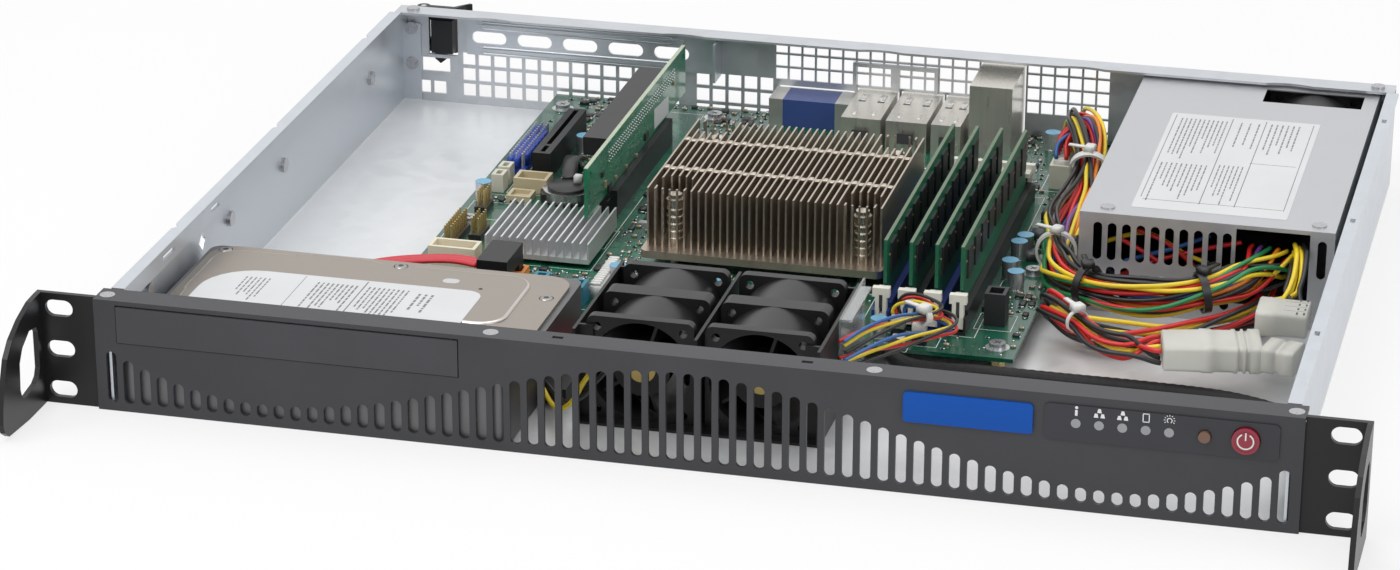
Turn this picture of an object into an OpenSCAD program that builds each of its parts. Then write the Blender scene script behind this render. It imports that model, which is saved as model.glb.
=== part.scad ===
// One-unit rack server with its lid off, drawn 1:1 in millimetres.
// Sizes below are given from the front panel's face (y = 0) and the tray's base (z = 0).
// in_frame() then moves everything so that the origin is under the middle of the whole.

/* [Front panel] */
// Height of the front panel
panel_h = 43.2; // [42:0.1:44]
// Width of the front panel between the ears
panel_w = 437.2; // [434:0.1:440]
// Sheet thickness of the front panel
panel_t = 1.5; // [1.2:0.1:1.8]
// Depth of the panel's top flange
panel_flange = 11; // [10:0.1:12]
// Number of vent slots in the wave grille
vent_count = 68; // [40:2:68]
// Distance from one vent slot to the next
vent_pitch = 6.35; // [6:0.01:6.35]
// Width of a vent slot
vent_w = 4; // [3:0.1:4.5]
// Height of the vent slots' lower ends
vent_low = 3.2; // [3:0.1:4]
// Middle height of the wave that the slot tops follow
wave_mid = 22.75; // [21:0.05:23]
// Rise and fall of the wave
wave_amp = 14.25; // [10:0.05:14.5]
// Length of one wave
wave_length = 310; // [300:1:316]
// Rise of the slot tops towards the ears
wave_end_rise = 14.8; // [8:0.1:16]

/* [Rack ears] */
// Width over both ears
ear_span = 482.6; // [481:0.1:484]
// Distance from an ear's edge to the middle of its slots
slot_inset = 8.75; // [8.3:0.05:9.2]
// Height step from one rack slot to the next
slot_rise = 15.875; // [15:0.005:16.5]
// Width of a rack slot
slot_w = 10.6; // [9:0.1:12]
// Height of a rack slot
slot_h = 6.4; // [5.6:0.1:7]
// Sheet thickness of the ears
ear_t = 2; // [1.5:0.1:2.4]
// Reach of the handles in front of the panel
handle_reach = 39; // [34:0.5:44]
// Depth of the ears' flanges along the side walls
ear_flange = 22; // [16:0.5:28]

/* [Tray] */
// Width of the tray over its side walls
case_w = 428; // [426:0.5:430]
// Depth of the tray from the panel's face to the rear panel's outer face
case_d = 352; // [352:0.5:356]
// Sheet thickness of tray and rear panel
sheet_t = 1; // [0.8:0.05:1.2]
// Depth of the strip that is pressed in under the lid flange
groove_d = 2; // [1.5:0.1:2.5]
// Height at which the pressed strip starts
groove_z = 37; // [34:0.5:38]
// Width of the lid flange beyond the pressed strip
lid_flange = 4; // [3:0.1:4.2]
// Depth of the rear panel's top flange
rear_flange = 10; // [9:0.5:12]
// Play between sheets that lie on each other
seam = 0.1; // [0.05:0.01:0.2]

/* [Drive bay blank] */
// Left end of the blank
blank_x = -210; // [-211:0.1:-208]
// Width of the blank
blank_w = 128.7; // [120:0.1:130]
// Height of the blank's lower edge
blank_z = 27; // [26.8:0.1:29]
// Height of the blank
blank_h = 14.2; // [11:0.1:14.3]

/* [Front controls] */
// Left edge of the control overlay
overlay_x = 129.4; // [128:0.1:131]
// Width of the control overlay
overlay_w = 81; // [80:0.1:82]
// Height of the control overlay
overlay_h = 13.4; // [12:0.1:13.8]
// Height of the overlay's centre line
overlay_z = 33.2; // [32.8:0.1:33.6]
// Thickness of the overlay
overlay_t = 0.6; // [0.4:0.05:0.8]
// Diameter of a status light
light_d = 3.4; // [3:0.1:4]
// Distance from one status light to the next
light_pitch = 8.05; // [7.5:0.05:8.3]
// Diameter of the power button
power_d = 9.6; // [8:0.1:10]
// Diameter of the reset button
reset_d = 4.2; // [3.6:0.1:4.6]
// Travel of both buttons
button_travel = 1; // [0.6:0.05:1.1]
// Play round a button
button_play = 0.25; // [0.15:0.05:0.3]
// Left edge of the badge plate
badge_x = 80; // [79:0.1:82]
// Width of the badge plate
badge_w = 45.5; // [40:0.1:46.5]
// Height of the badge plate
badge_h = 11.3; // [9:0.1:12]
// Thickness of the badge plate
badge_t = 1.4; // [1:0.1:2]

/* [Main board] */
// Side length of the square board
board_w = 243.84; // [243:0.01:244.4]
// Left edge of the board
board_x = -144; // [-144.5:0.1:-143.5]
// Thickness of the board
board_t = 1.6; // [1.4:0.05:1.8]
// Height of the board above the tray's floor
standoff_h = 6.4; // [6.2:0.1:6.6]
// Diameter of a standoff
standoff_d = 6; // [5:0.1:7]

/* [Heatsinks] */
// Length of the processor heatsink's fins
cooler_d = 82; // [76:0.5:84]
// Width of the processor heatsink's fin stack
cooler_w = 93; // [88:0.5:94]
// Number of fins on the processor heatsink
cooler_fins = 33; // [24:1:36]
// Thickness of a fin
fin_t = 0.7; // [0.5:0.05:1]
// Height of the processor heatsink's top above the board
cooler_top = 32; // [29:0.1:32.4]
// Height of the base plate's underside above the board
cooler_seat = 5.2; // [4.6:0.1:6]
// Thickness of the base plate
cooler_base = 3; // [2.4:0.1:4]
// Side of the chipset heatsink
chip_sink_w = 42; // [38:0.5:43]
// Height of the chipset heatsink above the board
chip_sink_h = 10.5; // [8:0.1:12]
// Number of fins on the chipset heatsink
chip_sink_fins = 14; // [9:1:14]

/* [Memory] */
// Distance from one memory slot to the next
dimm_pitch = 9.8; // [9.6:0.05:10]
// Length of a memory module
dimm_l = 133.35; // [132:0.05:134]
// Height of a memory module
dimm_h = 30; // [26:0.1:31]
// Thickness of a memory module's board
dimm_t = 1.3; // [1.1:0.05:1.5]
// Height of the slot's plastic body
dimm_slot_h = 8.5; // [7.5:0.1:9]
// Width of the slot's plastic body
dimm_slot_w = 6.6; // [6:0.1:7]
// Height of the latch above its pivot
latch_h = 12; // [10:0.1:12.5]
// Play round a latch's pivot
pivot_play = 0.06; // [0.04:0.01:0.1]

/* [Riser] */
// Length of the riser card
riser_l = 155.4; // [150:0.1:157]
// Height of the riser card
riser_h = 31.8; // [30:0.1:32.4]
// Thickness of the riser card
riser_t = 1.6; // [1.4:0.05:1.8]
// Length of the wide slot connectors
wide_slot_l = 89; // [84:0.5:90]
// Length of the short slot connector
short_slot_l = 56; // [50:0.5:58]
// Width of a slot connector
card_slot_w = 7.5; // [7:0.1:8.5]
// Height of a slot connector
card_slot_h = 11; // [10:0.1:11.5]

/* [Fans] */
// Side of a fan's square frame
fan_side = 40; // [38:0.1:40]
// Length of a double fan
fan_l = 56; // [52:0.5:58]
// Distance between the two fans
fan_pitch = 44; // [43:0.1:46]
// Middle of the two fans, left or right of the case's middle
fan_mid_x = -1.4; // [-3:0.1:1]
// Front of the fan tray
fan_tray_y = 28; // [26:0.5:29]
// Length of the fan tray
fan_tray_l = 68.5; // [64:0.5:70]
// Sheet thickness of the fan tray
fan_tray_t = 1.2; // [1:0.1:1.4]
// Wall of the fan's duct
duct_wall = 1.4; // [1:0.1:1.8]
// Diameter of a rotor's hub
hub_d = 21; // [18:0.5:23]
// Play between blade tips and duct
tip_play = 0.7; // [0.5:0.05:1]
// Number of blades on a rotor
blade_count = 5; // [3:1:7]
// Diameter of a fan's shaft
shaft_d = 3; // [2.5:0.1:3.5]
// Play round a shaft
shaft_play = 0.05; // [0.03:0.01:0.1]

/* [Hard drive] */
// Length of the drive across the case
drive_l = 147; // [146:0.1:148]
// Width of the drive from front to back
drive_w = 101.6; // [101:0.1:102]
// Height of the drive
drive_h = 26.1; // [20:0.1:26.4]
// Left end of the drive
drive_x = -210.5; // [-210.6:0.1:-209.5]
// Front side of the drive
drive_y = 2; // [1.8:0.1:2.4]
// Height of the pressed feet under the drive
drive_foot = 0.9; // [0.6:0.1:1.2]
// Thickness of the drive's cover
drive_cover_t = 1.2; // [0.8:0.1:1.6]

/* [Power supply] */
// Left side of the power supply
psu_x = 111; // [110:0.1:112]
// Width of the power supply
psu_w = 97.3; // [94:0.1:99]
// Height of the power supply
psu_h = 40; // [38:0.1:40.6]
// Front of the power supply
psu_y = 182; // [180:0.5:190]
// Sheet thickness of the power supply's case
psu_t = 0.8; // [0.6:0.05:1]
// Number of upper slots in the front
psu_slot_count = 10; // [6:1:10]
// Distance from one front slot to the next
psu_slot_pitch = 5.5; // [5.2:0.05:5.6]
// Width of the opening that the wires leave by
wire_gap_w = 28; // [24:0.5:29]

/* [Card clamp] */
// Length of the clamp's outer lever
clamp_l = 20; // [16:0.5:22]
// Reach of the clamp behind the rear panel
clamp_reach = 11; // [9:0.5:12]
// Diameter of the clamp's pivot pin
clamp_pin_d = 2.4; // [2:0.1:3]

/* [Hidden] */

// How far each cut runs past the sheet that it goes through
overrun = 1;

// Reach of the whole to the front and to the back
front_reach = handle_reach;
back_reach = case_d + clamp_reach;
half_w = case_w / 2;
panel_half = panel_w / 2;
ear_half = ear_span / 2;
slot_span = ear_span - 2 * slot_inset;
wall_in = half_w - groove_d - sheet_t;
rear_in = case_d - sheet_t;
lid_z = panel_h - sheet_t;

// Rear panel: a lattice of square holes, windows for the ports, the card slot and the supply
lattice_hole = 5.6;
lattice_pitch = 7;
fine_hole = 5;
fine_pitch = 5.9;
card_opening_shares = [-0.85, -0.35];
card_opening_z = [26, 37.5];
clamp_window_x = [-201.5, -188.5];
clamp_window_z = [22.4, 39.4];
tab_window = [[-204.7, 14.6], [-192.2, 20.8]];
port_window_gap = 0.6;
psu_window_gap = 1.5;

// Screws
screw_d = 3;
screw_head_d = 5.6;
screw_head_h = 1.1;
screw_play = 0.1;
flange_screw_x = [-215, -70.5, 68.4, 215];
rear_screw_x = [-207, 207];
stud_d = 6;
stud_h = 1.6;
stud_yz = [[39, 32], [127.5, 27.7], [190.6, 27.2], [303, 26.2]];
rivet_z = [18, 34];
hook_y = [76.5, 191.7, 306.9];
hook_w = 4;

// Front controls
reset_x = 184.8;
power_x = 198.9;
light_x = 140.4;
light_count = 5;
collar_h = 0.8;
collar_rim = 1.2;
board_gap_y = 6.6;
switch_d = 3.4;
post_d = 3.6;

// Main board
board_y = rear_in - 2 * seam - board_w;
board_z = sheet_t + standoff_h;
board_top = board_z + board_t;
hole_shares = [
  [0.03, 0.043], [0.63, 0.043], [0.968, 0.043], [0.03, 0.36],
  [0.968, 0.36], [0.03, 0.93], [0.3, 0.95], [0.968, 0.72]
];
board_hole_d = 3.6;
board_screw_head_d = 6.2;
board_screw_head_h = 2;

// Processor, chipset and their heatsinks
cooler_share = [0.554, 0.41];
cooler_screw_shares = [[-0.4, -0.4], [0.4, -0.4], [-0.4, 0.41], [0.4, 0.41]];
cooler_notch_d = 15;
socket_w = 45;
chip_sink_share = [0.193, 0.283];
chip_sink_base = 2;
chip_w = 30;
chip_h = 2.1;
spring_d = 7;
spring_wire = 0.9;
spring_turns = 5;

// Memory
dimm_share = [0.838, 0.383];
dimm_count = 4;
latch_room = 3.8;
dimm_slot_l = dimm_l + 2 * latch_room;
latch_w = 4.4;
latch_t = 2.8;
latch_pin_d = 1.6;
latch_pivot_h = 3.5;
dimm_chip = [0.9, 9.4, 11.5];

// Cards
riser_share = [0.246, 0.62];
short_slot_share = [0.091, 0.695];
card_key = 2;

// Fans
fan_z = sheet_t + fan_side / 2 + 2 * seam;
fan_flange_t = 4;
rotor_gap = 0.5;
mount_t = 4;
psu_fan_share = 0.735;
psu_fan_l = 28;

// Cable routes, from the photograph: points along the middle of each bundle
harness_r = 7;
harness_route = [
  [86, 314, 21.2], [86, 314, 27], [92, 304, 31], [97, 290, 29], [100, 275, 24], [100, 258, 19],
  [98, 240, 17.6], [97.6, 218, 17.6], [100, 198, 17.8], [103, 183, 18], [108, 170, 19], [118, 162, 19],
  [132, 157, 19], [148, 157, 19], [162, 161, 21], [173, 168, 23], [181, 178, 25], [185, 189, 25]
];
drive_lead_r = 4;
drive_lead_route = [
  [186, 187, 14], [183, 172, 12], [174, 160, 11], [160, 150, 10], [146, 143, 9], [130, 140, 9],
  [118, 142, 10], [110, 146, 14], [107, 141, 19], [112, 132, 21], [121, 121, 21], [131, 110, 19],
  [142, 107, 18], [153.8, 109.3, 17.5]
];
cpu_lead_r = 4;
cpu_lead_route = [
  [194, 187, 31], [196, 175, 32], [196.5, 164, 28.5], [195.5, 156, 24.5],
  [195, 151.6, 23.2], [195, 147.7, 23.2]
];
fan_lead_r = 2;
fan_lead_route = [
  [47, 52, 31], [54, 62, 33], [63, 74, 33], [70, 86, 31], [73, 99, 28], [70, 109, 26],
  [62, 115.5, 25.5], [56.3, 117.8, 23.6], [54.2, 118, 21], [54.2, 118, 18.1]
];
second_lead_r = 1.5;
second_lead_route = [
  [47, 50, 26], [57, 58, 28], [68, 71, 28], [76, 86, 26], [79, 98, 24], [75, 107, 23],
  [68, 112, 22.6], [64.4, 113, 21.6], [63.3, 113, 20], [63.3, 113, 18.1]
];
sata_size = [7, 1.8];
sata_route = [
  [-110, 122, 21], [-120, 124, 21], [-132, 124, 20], [-146, 120, 19], [-160, 114, 17],
  [-174, 109, 14], [-186, 108, 10], [-192, 108, 6], [-184, 109, 3.6], [-150, 109, 3.6],
  [-110, 109, 3.6], [-78, 109, 3.6], [-60, 107, 4], [-53, 98, 5], [-52, 82, 6], [-56.5, 57.1, 6.5]
];
control_lead_r = 3;
control_lead_route = [
  [206, 14, 30.5], [206, 18, 30.5], [208, 28, 27], [209, 45, 18], [208, 70, 9], [200, 90, 5.5],
  [180, 99, 5], [150, 101, 5], [120, 101, 5], [90, 101, 5], [74, 98.5, 5.4], [64, 95, 7.6],
  [58, 94.6, 10], [56, 98.4, 11], [56, 104.7, 11]
];

// Tray
rail_h = 6.5;
rail_top = panel_h - panel_t - seam;
rail_y = [panel_t + seam, panel_flange + sheet_t];
return_w = 8;
lance_y = [[51.7, 63.6], [103.6, 112.7]];
lance_z = 39.7;
lance_h = 1.8;
diamond_yz = [97.7, 29.3];
diamond_w = 5;

// Rear panel
port_windows = [
  [-45.5, 10, -13, 21.5], [-11.6, 8.8, 6.4, 23.2], [7.4, 8.8, 25.9, 23.2],
  [26.6, 8.8, 40.2, 23.2], [41.2, 8.8, 60.4, 39]
];
inlet_window_z = [2.4, 40.4];
flange_wave = 1.5;
wave_bend_d = 60;
lattice_at = [[-206.8, 4.6], [-186.4, 4.6], [-82, 4.6]];
lattice_counts = [[2, 1], [14, 3], [5, 3]];
fine_at = [[-47.2, 24.2], [61.2, 18.3], [90.7, 6.5]];
fine_counts = [[15, 3], [6, 4], [1, 2]];
port_frame = [[-13.5, 23.4], [23.1, 34.6]];
port_frame_deep = 1.5;
port_frame_mouths = [[-11.9, 2.9], [6.7, 21.6]];
port_frame_rim = 1.6;

// Front panel
wave_end_run = 58;
blank_seam = 0.3;
hook_hole = [4, 2];
hook_hole_x = [-46.1, 44.3];
post_x = [overlay_x + post_d, overlay_x + overlay_w - post_d / 2];
post_z = overlay_z - overlay_h / 2 + post_d / 2;
blank_t = 2;
blank_lip = 1.5;

// Ears
ear_y = panel_t + seam;
ear_gap = 3;
handle_share = [
  [0, 1], [-0.2, 0.99], [-0.46, 0.92], [-0.68, 0.82], [-0.82, 0.7], [-0.92, 0.5], [-0.98, 0.3],
  [-1, 0.17], [-0.97, 0.09], [-0.88, 0.03], [-0.56, 0.01], [-0.4, 0], [0, 0]
];
finger_share = [
  [-0.28, 0.76], [-0.12, 0.74], [-0.08, 0.68], [-0.08, 0.36], [-0.12, 0.29], [-0.2, 0.25],
  [-0.44, 0.22], [-0.53, 0.25], [-0.56, 0.33], [-0.54, 0.56], [-0.46, 0.67]
];

// Badge, overlay, lights and buttons
badge_crown_d = 60;
button_proud = 1.3;
button_l = 3.2;
power_ring_deep = 0.2;
control_board_margin = 1;
lead_socket = [7, 5, 7];

// Screws of the case
cross_l = 3.2;
cross_w = 0.6;
flange_screw_l = 3.6;
rear_screw_l = 1.9;
psu_screw_shares = [[0.1, 0.04], [0.93, 0.04]];

// Processor socket with its load frame under the cooler
socket_h = 3.4;
frame_w = 58;
frame_t = 1.6;
retain_w = 14;

// Processor heatsink
cooler_base_margin = 3;
cooler_shank_d = 4;
band_w = 2;
band_h = 0.8;

// Memory: slots with a fork at each end, modules and latches
dimm_slot_gap = 0.15;
dimm_seat_h = 2;
fork_l = 5;
notch_r = 2;
pivot_y = dimm_slot_l / 2 + fork_l / 2 - overrun / 4;
chips_per_side = 9;
latch_head_share = 0.7;
hook_share = 0.14;
notch_z = latch_pivot_h + latch_h * (latch_head_share + hook_share / 2) - dimm_seat_h;
latch_hook = pivot_y - latch_t / 2 - dimm_l / 2 + 0.4 * notch_r;

// Card slots: one short slot, the riser's slot on the board and the slot that the riser carries
card_slot_gap = 0.2;
slot_mouth_h = 7;
riser_slot_top = 30.4;
riser_shift = 6;
riser_lift = card_slot_h - slot_mouth_h + card_slot_gap;
riser_rear = 78;

// Coin cell in its holder
cell_share = [0.16, 0.5];
cell_d = 20;
cell_h = 3.2;
cell_wall = 1.2;

// Ports on the rear edge: each runs from the board through its window in the rear panel
port_out = 0.8;
jack_wall = 0.8;
video_l = 16;
jack_l = 38;
jack_deep = 13;
stack_l = 31;

// Sockets and headers on the board: middle as a share of the board, size in millimetres
power_socket_share = [0.945, 0.85];
power_socket = [9.6, 52, 10];
socket_key = 1.4;
black_header_share = [0.948, 0.14];
black_header = [8, 8.5, 13];
tan_share = [0.092, 0.528];
tan_size = [14, 10, 6];
chip_socket_share = [0.086, 0.475];
chip_socket_size = [10, 9, 3];
white_header_share = [[0.038, 0.513], [0.038, 0.552]];
white_header = [5, 7, 7.5];
fan_socket_share = [[0.813, 0.045], [0.85, 0.025]];
fan_socket = [5, 4, 4];
lead_header_share = [0.82, 0.008];
sata_row_share = [0.07, 0.155];
sata_row_size = [19, 9.5, 10];
orange_share = [0.16, 0.125];
orange_size = [18, 8.5, 5];
blue_port_share = [[0.235, 0.075], [0.3, 0.06]];
blue_port_size = [6, 9, 8];
pin_pitch = 2.54;
pin_w = 0.64;
pin_h = 8;
pin_base_h = 2.5;
header_shares = [[0.045, 0.668], [0.039, 0.418], [0.034, 0.277], [0.066, 0.3]];
header_counts = [[3, 16], [2, 4], [2, 9], [2, 5]];
cap_d = 6.5;
cap_h = 8;
cap_shares = [
  [0.026, 0.46], [0.128, 0.717], [0.935, 0.41], [0.94, 0.44], [0.936, 0.325], [0.953, 0.28], [0.785, 0.035],
  [0.9, 0.93], [0.34, 0.15], [0.42, 0.12], [0.5, 0.13], [0.33, 0.56], [0.33, 0.7]
];
chip_shares = [
  [0.193, 0.283], [0.36, 0.446], [0.36, 0.5], [0.62, 0.72], [0.4, 0.85], [0.47, 0.78], [0.932, 0.2],
  [0.55, 0.12]
];
chip_sizes = [
  [30, 30, 2], [8, 8, 2.5], [8, 8, 2.5], [14, 14, 1.6], [10, 10, 1.4], [20, 14, 1.5], [7, 9, 1.6],
  [9, 9, 1.5]
];

// Fans. In these modules the air flows along +Z from z = 0
strut_w = 2;
rotor_l = fan_l / 2 - mount_t - rotor_gap - fan_flange_t / 2;
cap_t = 2;
blade_t = 1.2;
blade_turn = 48;
fan_y = fan_tray_y + (fan_tray_l - fan_l) / 2;
fan_x = [fan_mid_x - fan_pitch / 2, fan_mid_x + fan_pitch / 2];
psu_side = psu_h - 2 * psu_t - 2 * seam;
psu_fan_x = psu_x + psu_fan_share * psu_w;
psu_z = sheet_t + seam;
psu_top = psu_z + psu_h;
psu_d = rear_in - sheet_t - screw_head_h - 3 * seam - psu_y;
psu_fan_y = psu_y + psu_d - seam - psu_t - psu_fan_l;
inlet_proud = case_d - psu_y - psu_d;
fan_tray_top = 38;
fan_room = 0.3;
tray_base_t = 1;
side_room = 3.6;
corner_w = 6.5;
shroud_t = 0.8;
shroud_y = 58;
shroud_l = 42;
shroud_z = 6;

// Hard drive: cast body on four pressed feet, and its cover
drive_hole_x = [29, 105];
drive_hole_y = [22, 80];
drive_z = sheet_t + drive_foot + seam / 2;
cover_margin = 2.5;
disk_share = [0.36, 0.5];
disk_d = 92;
deck_t = 0.8;
deck_at = [6, 46.5];
deck_size = [124, 47];
deck_corner = 9;
drive_plug = [20, 16, 6];
drive_plug_y = 47;
cover_screw_shares = [[0.05, 0.07], [0.05, 0.93], [0.95, 0.07], [0.948, 0.758], [0.526, 0.93]];
plug_size = [12, 22, 7];
plug_at = [-104, 129, 17];
orange_x = board_x + orange_share[0] * board_w;

// Power supply
psu_slots_x = 7.2;
psu_slot_w = 3.4;
psu_slot_z = [[5, 18.4], [21, 36.2]];
psu_low_count = 3;
wire_gap_right = 9.3;
wire_gap_z = [8, 38.4];
fan_window = [40, 16];
fan_window_back = 8;
inlet_size = [28, 20, 18];
inlet_wall = 1.8;
inlet_x = 27;
inlet_pins = [[-7, -2], [7, -2], [0, 3]];
inlet_pin = [2, 11, 4];
grille_hole_d = 3.8;
grille_pitch = 4.8;
grille_d = 33;
grille_rows = floor(grille_d / grille_pitch / 2);

// Vented cover over the card opening, inside the rear panel
cover_x = [-184, -71];
cover_z = [24, 40];
cover_vents = 5;
cover_vent = [15.4, 5.4];
cover_vent_pitch = 20.3;
cover_vent_x = -174;
cover_rib = [92, 1.4];
cover_rib_h = 0.7;
cover_tab_l = 11;

// Clamp that holds a card's bracket, hinged on a pin behind the rear panel
clamp_x = -205;
clamp_off = 3.6;
clamp_y = case_d + clamp_off;
knuckle_d = 5.6;
knuckle_z = [22.4, 28.4, 36.6, 42.6];
knuckle_gap = 0.3;
clamp_arm_t = 2.4;
claw_x = [5, 14.5];
claw_deep = 6.2;
claw_z = [23.4, 38.3];
tab_z = [17.2, 19.2];
tab_w = 5;

// Connectors on the wires, white nylon
power_plug_h = 12;
fan_plug_h = 9;
drive_joint = [36, 21, 11];
drive_joint_at = [172, 113, 12];
drive_joint_turn = 12;
small_joint = [13, 14, 10];
small_joint_at = [198, 112, 13];
cpu_joint = [19, 18, 10];
cpu_joint_at = [195, 138, 18];

// Cords and the ties round them
tie_w = 3;
tie_t = 1;
tie_shares = [0.235, 0.471, 0.647, 0.824];

// Cords: a tube swept along a route, its middle kept level sideways
function unit(v) = v / norm(v);
function heading(route, i) = unit(route[min(i + 1, len(route) - 1)] - route[max(i - 1, 0)]);
function sideways(t) = abs(t[2]) > 0.95 ? unit(cross(t, [0, 1, 0])) : unit(cross(t, [0, 0, 1]));
function tube_ring(at, t, size, sides) = let (s = sideways(t), u = cross(s, t)) [
  for (k = [0:sides - 1])
    at + s * size[0] * cos(360 * k / sides) + u * size[1] * sin(360 * k / sides)
];
function tube_points(route, size, sides) = [
  for (i = [0:len(route) - 1])
    each tube_ring(route[i], heading(route, i), size, sides)
];
function tube_faces(rings, sides) = concat(
  [[for (k = [0:sides - 1]) k]],
  [
    for (i = [0:rings - 2], k = [0:sides - 1])
      let (a = i * sides + k, b = i * sides + (k + 1) % sides)
        each [[a, a + sides, b + sides], [a, b + sides, b]]
  ],
  [[for (k = [sides - 1:-1:0]) (rings - 1) * sides + k]]
);
module tube(route, size, sides = 8)
  polyhedron(tube_points(route, size, sides), tube_faces(len(route), sides));

// A band round a cord at one place of its route
module band(at, t, r, wide, thick) {
  turn = atan2(t[1], t[0]);
  tilt = acos(t[2] / norm(t));
  translate(at)
    rotate([0, 0, turn])
      rotate([0, tilt, 0])
        translate([0, 0, -wide / 2])
          difference() {
            cylinder(h = wide, r = r + thick, $fn = 32);
            translate([0, 0, -overrun])
              cylinder(h = wide + 2 * overrun, r = r, $fn = 32);
          }
}

// Plates: flat along Z, standing across the case, and standing along the case
module flat(z, t) translate([0, 0, z]) linear_extrude(t) children();
module across(y, t) translate([0, y + t, 0]) rotate([90, 0, 0]) linear_extrude(t) children();
module along(x, t) translate([x, 0, 0]) rotate([90, 0, 90]) linear_extrude(t) children();
module rod_y(x, y, z, l, d) translate([x, y + l, z]) rotate([90, 0, 0]) cylinder(h = l, d = d, $fn = 40);
module rod_x(x, y, z, l, d) translate([x, y, z]) rotate([0, 90, 0]) cylinder(h = l, d = d, $fn = 40);
module rod_z(x, y, z, l, d) translate([x, y, z]) cylinder(h = l, d = d, $fn = 40);
module block(from, to) translate(from) cube(to - from);
module slab(size, z = 0) translate([-size[0] / 2, -size[1] / 2, z]) cube(size);

// Outlines
module soft_square(size, r) {
  translate([r, 0]) square([size[0] - 2 * r, size[1]]);
  translate([0, r]) square([size[0], size[1] - 2 * r]);
  for (x = [r, size[0] - r], y = [r, size[1] - r])
    translate([x, y]) circle(r = r, $fn = 24);
}
module slot_outline(low, high, w) {
  translate([-w / 2, low + w / 2]) square([w, high - low - w]);
  translate([0, low + w / 2]) circle(d = w, $fn = 24);
  translate([0, high - w / 2]) circle(d = w, $fn = 24);
}
module wide_slot_outline(w, h) {
  translate([-(w - h) / 2, -h / 2]) square([w - h, h]);
  for (s = [-1, 1])
    translate([s * (w - h) / 2, 0]) circle(d = h, $fn = 24);
}

module in_frame() translate([0, (front_reach - back_reach) / 2, 0]) children();
module on_board(share)
  translate([board_x + share[0] * board_w, board_y + share[1] * board_w, board_top]) children();
module mirrored() {
  children();
  mirror([1, 0, 0]) children();
}

// Tray
function wall_section() = [
  [half_w - sheet_t, 0], [half_w, 0], [half_w, groove_z], [half_w - groove_d, groove_z],
  [half_w - groove_d, lid_z], [half_w - groove_d + lid_flange, lid_z],
  [half_w - groove_d + lid_flange, panel_h], [wall_in, panel_h],
  [wall_in, groove_z - sheet_t], [half_w - sheet_t, groove_z - sheet_t]
];

module side_wall() {
  difference() {
    translate([0, rail_y[0], 0])
      across(0, rear_in - seam - rail_y[0]) polygon(wall_section());
    block([wall_in - overrun, 0, rail_top - rail_h], [half_w + lid_flange, rail_y[1], panel_h + overrun]);
    block(
      [wall_in - overrun, case_d - rear_flange - seam, lid_z - seam],
      [half_w + lid_flange, case_d, panel_h + overrun]
    );
  }
  block(
    [half_w - sheet_t - return_w, rear_in - seam - sheet_t, 0],
    [half_w - sheet_t / 2, rear_in - seam, groove_z - sheet_t]
  );
}

module front_rail() {
  rail_half = panel_half - 4 * seam;
  block([-rail_half, rail_y[0], rail_top - sheet_t], [rail_half, rail_y[1], rail_top]);
  block([-half_w, rail_y[1] - sheet_t, rail_top - rail_h], [half_w, rail_y[1], rail_top]);
}

module hook_notches() {
  for (y = hook_y) {
    translate([-(half_w - groove_d + lid_flange), y, lid_z - overrun])
      linear_extrude(sheet_t + 2 * overrun)
        polygon([[-overrun, -hook_w], [hook_w / 2, 0], [-overrun, hook_w]]);
    translate([half_w - groove_d + sheet_t / 2, y - hook_w / 2, lid_z - overrun])
      cube([hook_w / 2, hook_w, sheet_t + 2 * overrun]);
  }
}

module chassis_tray() color([0.76, 0.79, 0.83]) {
  difference() {
    union() {
      block([-half_w + sheet_t / 2, rail_y[0], 0], [half_w - sheet_t / 2, rear_in - seam, sheet_t]);
      mirrored() side_wall();
      front_rail();
    }
    hook_notches();
    for (y = lance_y)
      block([-half_w, y[0], lance_z - lance_h / 2], [-wall_in + overrun, y[1], lance_z + lance_h / 2]);
    translate([-half_w - overrun, diamond_yz[0], diamond_yz[1]])
      rotate([45, 0, 0])
        translate([0, -diamond_w / 2, -diamond_w / 2]) cube([groove_d + 2 * overrun, diamond_w, diamond_w]);
    for (x = flange_screw_x)
      rod_z(x, panel_flange / 2, rail_top - sheet_t - overrun, sheet_t + 2 * overrun, screw_d + screw_play);
    for (s = [-1, 1], z = rivet_z)
      rod_y(
        s * (half_w - sheet_t - return_w / 2), rear_in - sheet_t - overrun, z,
        sheet_t + 2 * overrun, screw_d + screw_play
      );
  }
  for (x = drive_hole_x, y = drive_hole_y)
    rod_z(drive_x + x, drive_y + y, sheet_t / 2, sheet_t / 2 + drive_foot, 3 * screw_d);
}

// Rear panel

module lattice(from, counts, pitch, hole) {
  for (c = [0:counts[0] - 1], r = [0:counts[1] - 1])
    translate([from[0] + c * pitch, from[1] + r * pitch]) square(hole);
}

module port_frame_plate()
  across(rear_in - port_frame_deep, port_frame_deep + sheet_t / 2)
    difference() {
      translate(port_frame[0]) square(port_frame[1] - port_frame[0]);
      for (x = port_frame_mouths)
        translate([x[0], port_frame[0][1] - overrun])
          square([x[1] - x[0], port_frame[1][1] - port_frame[0][1] - port_frame_rim + overrun]);
    }

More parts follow.
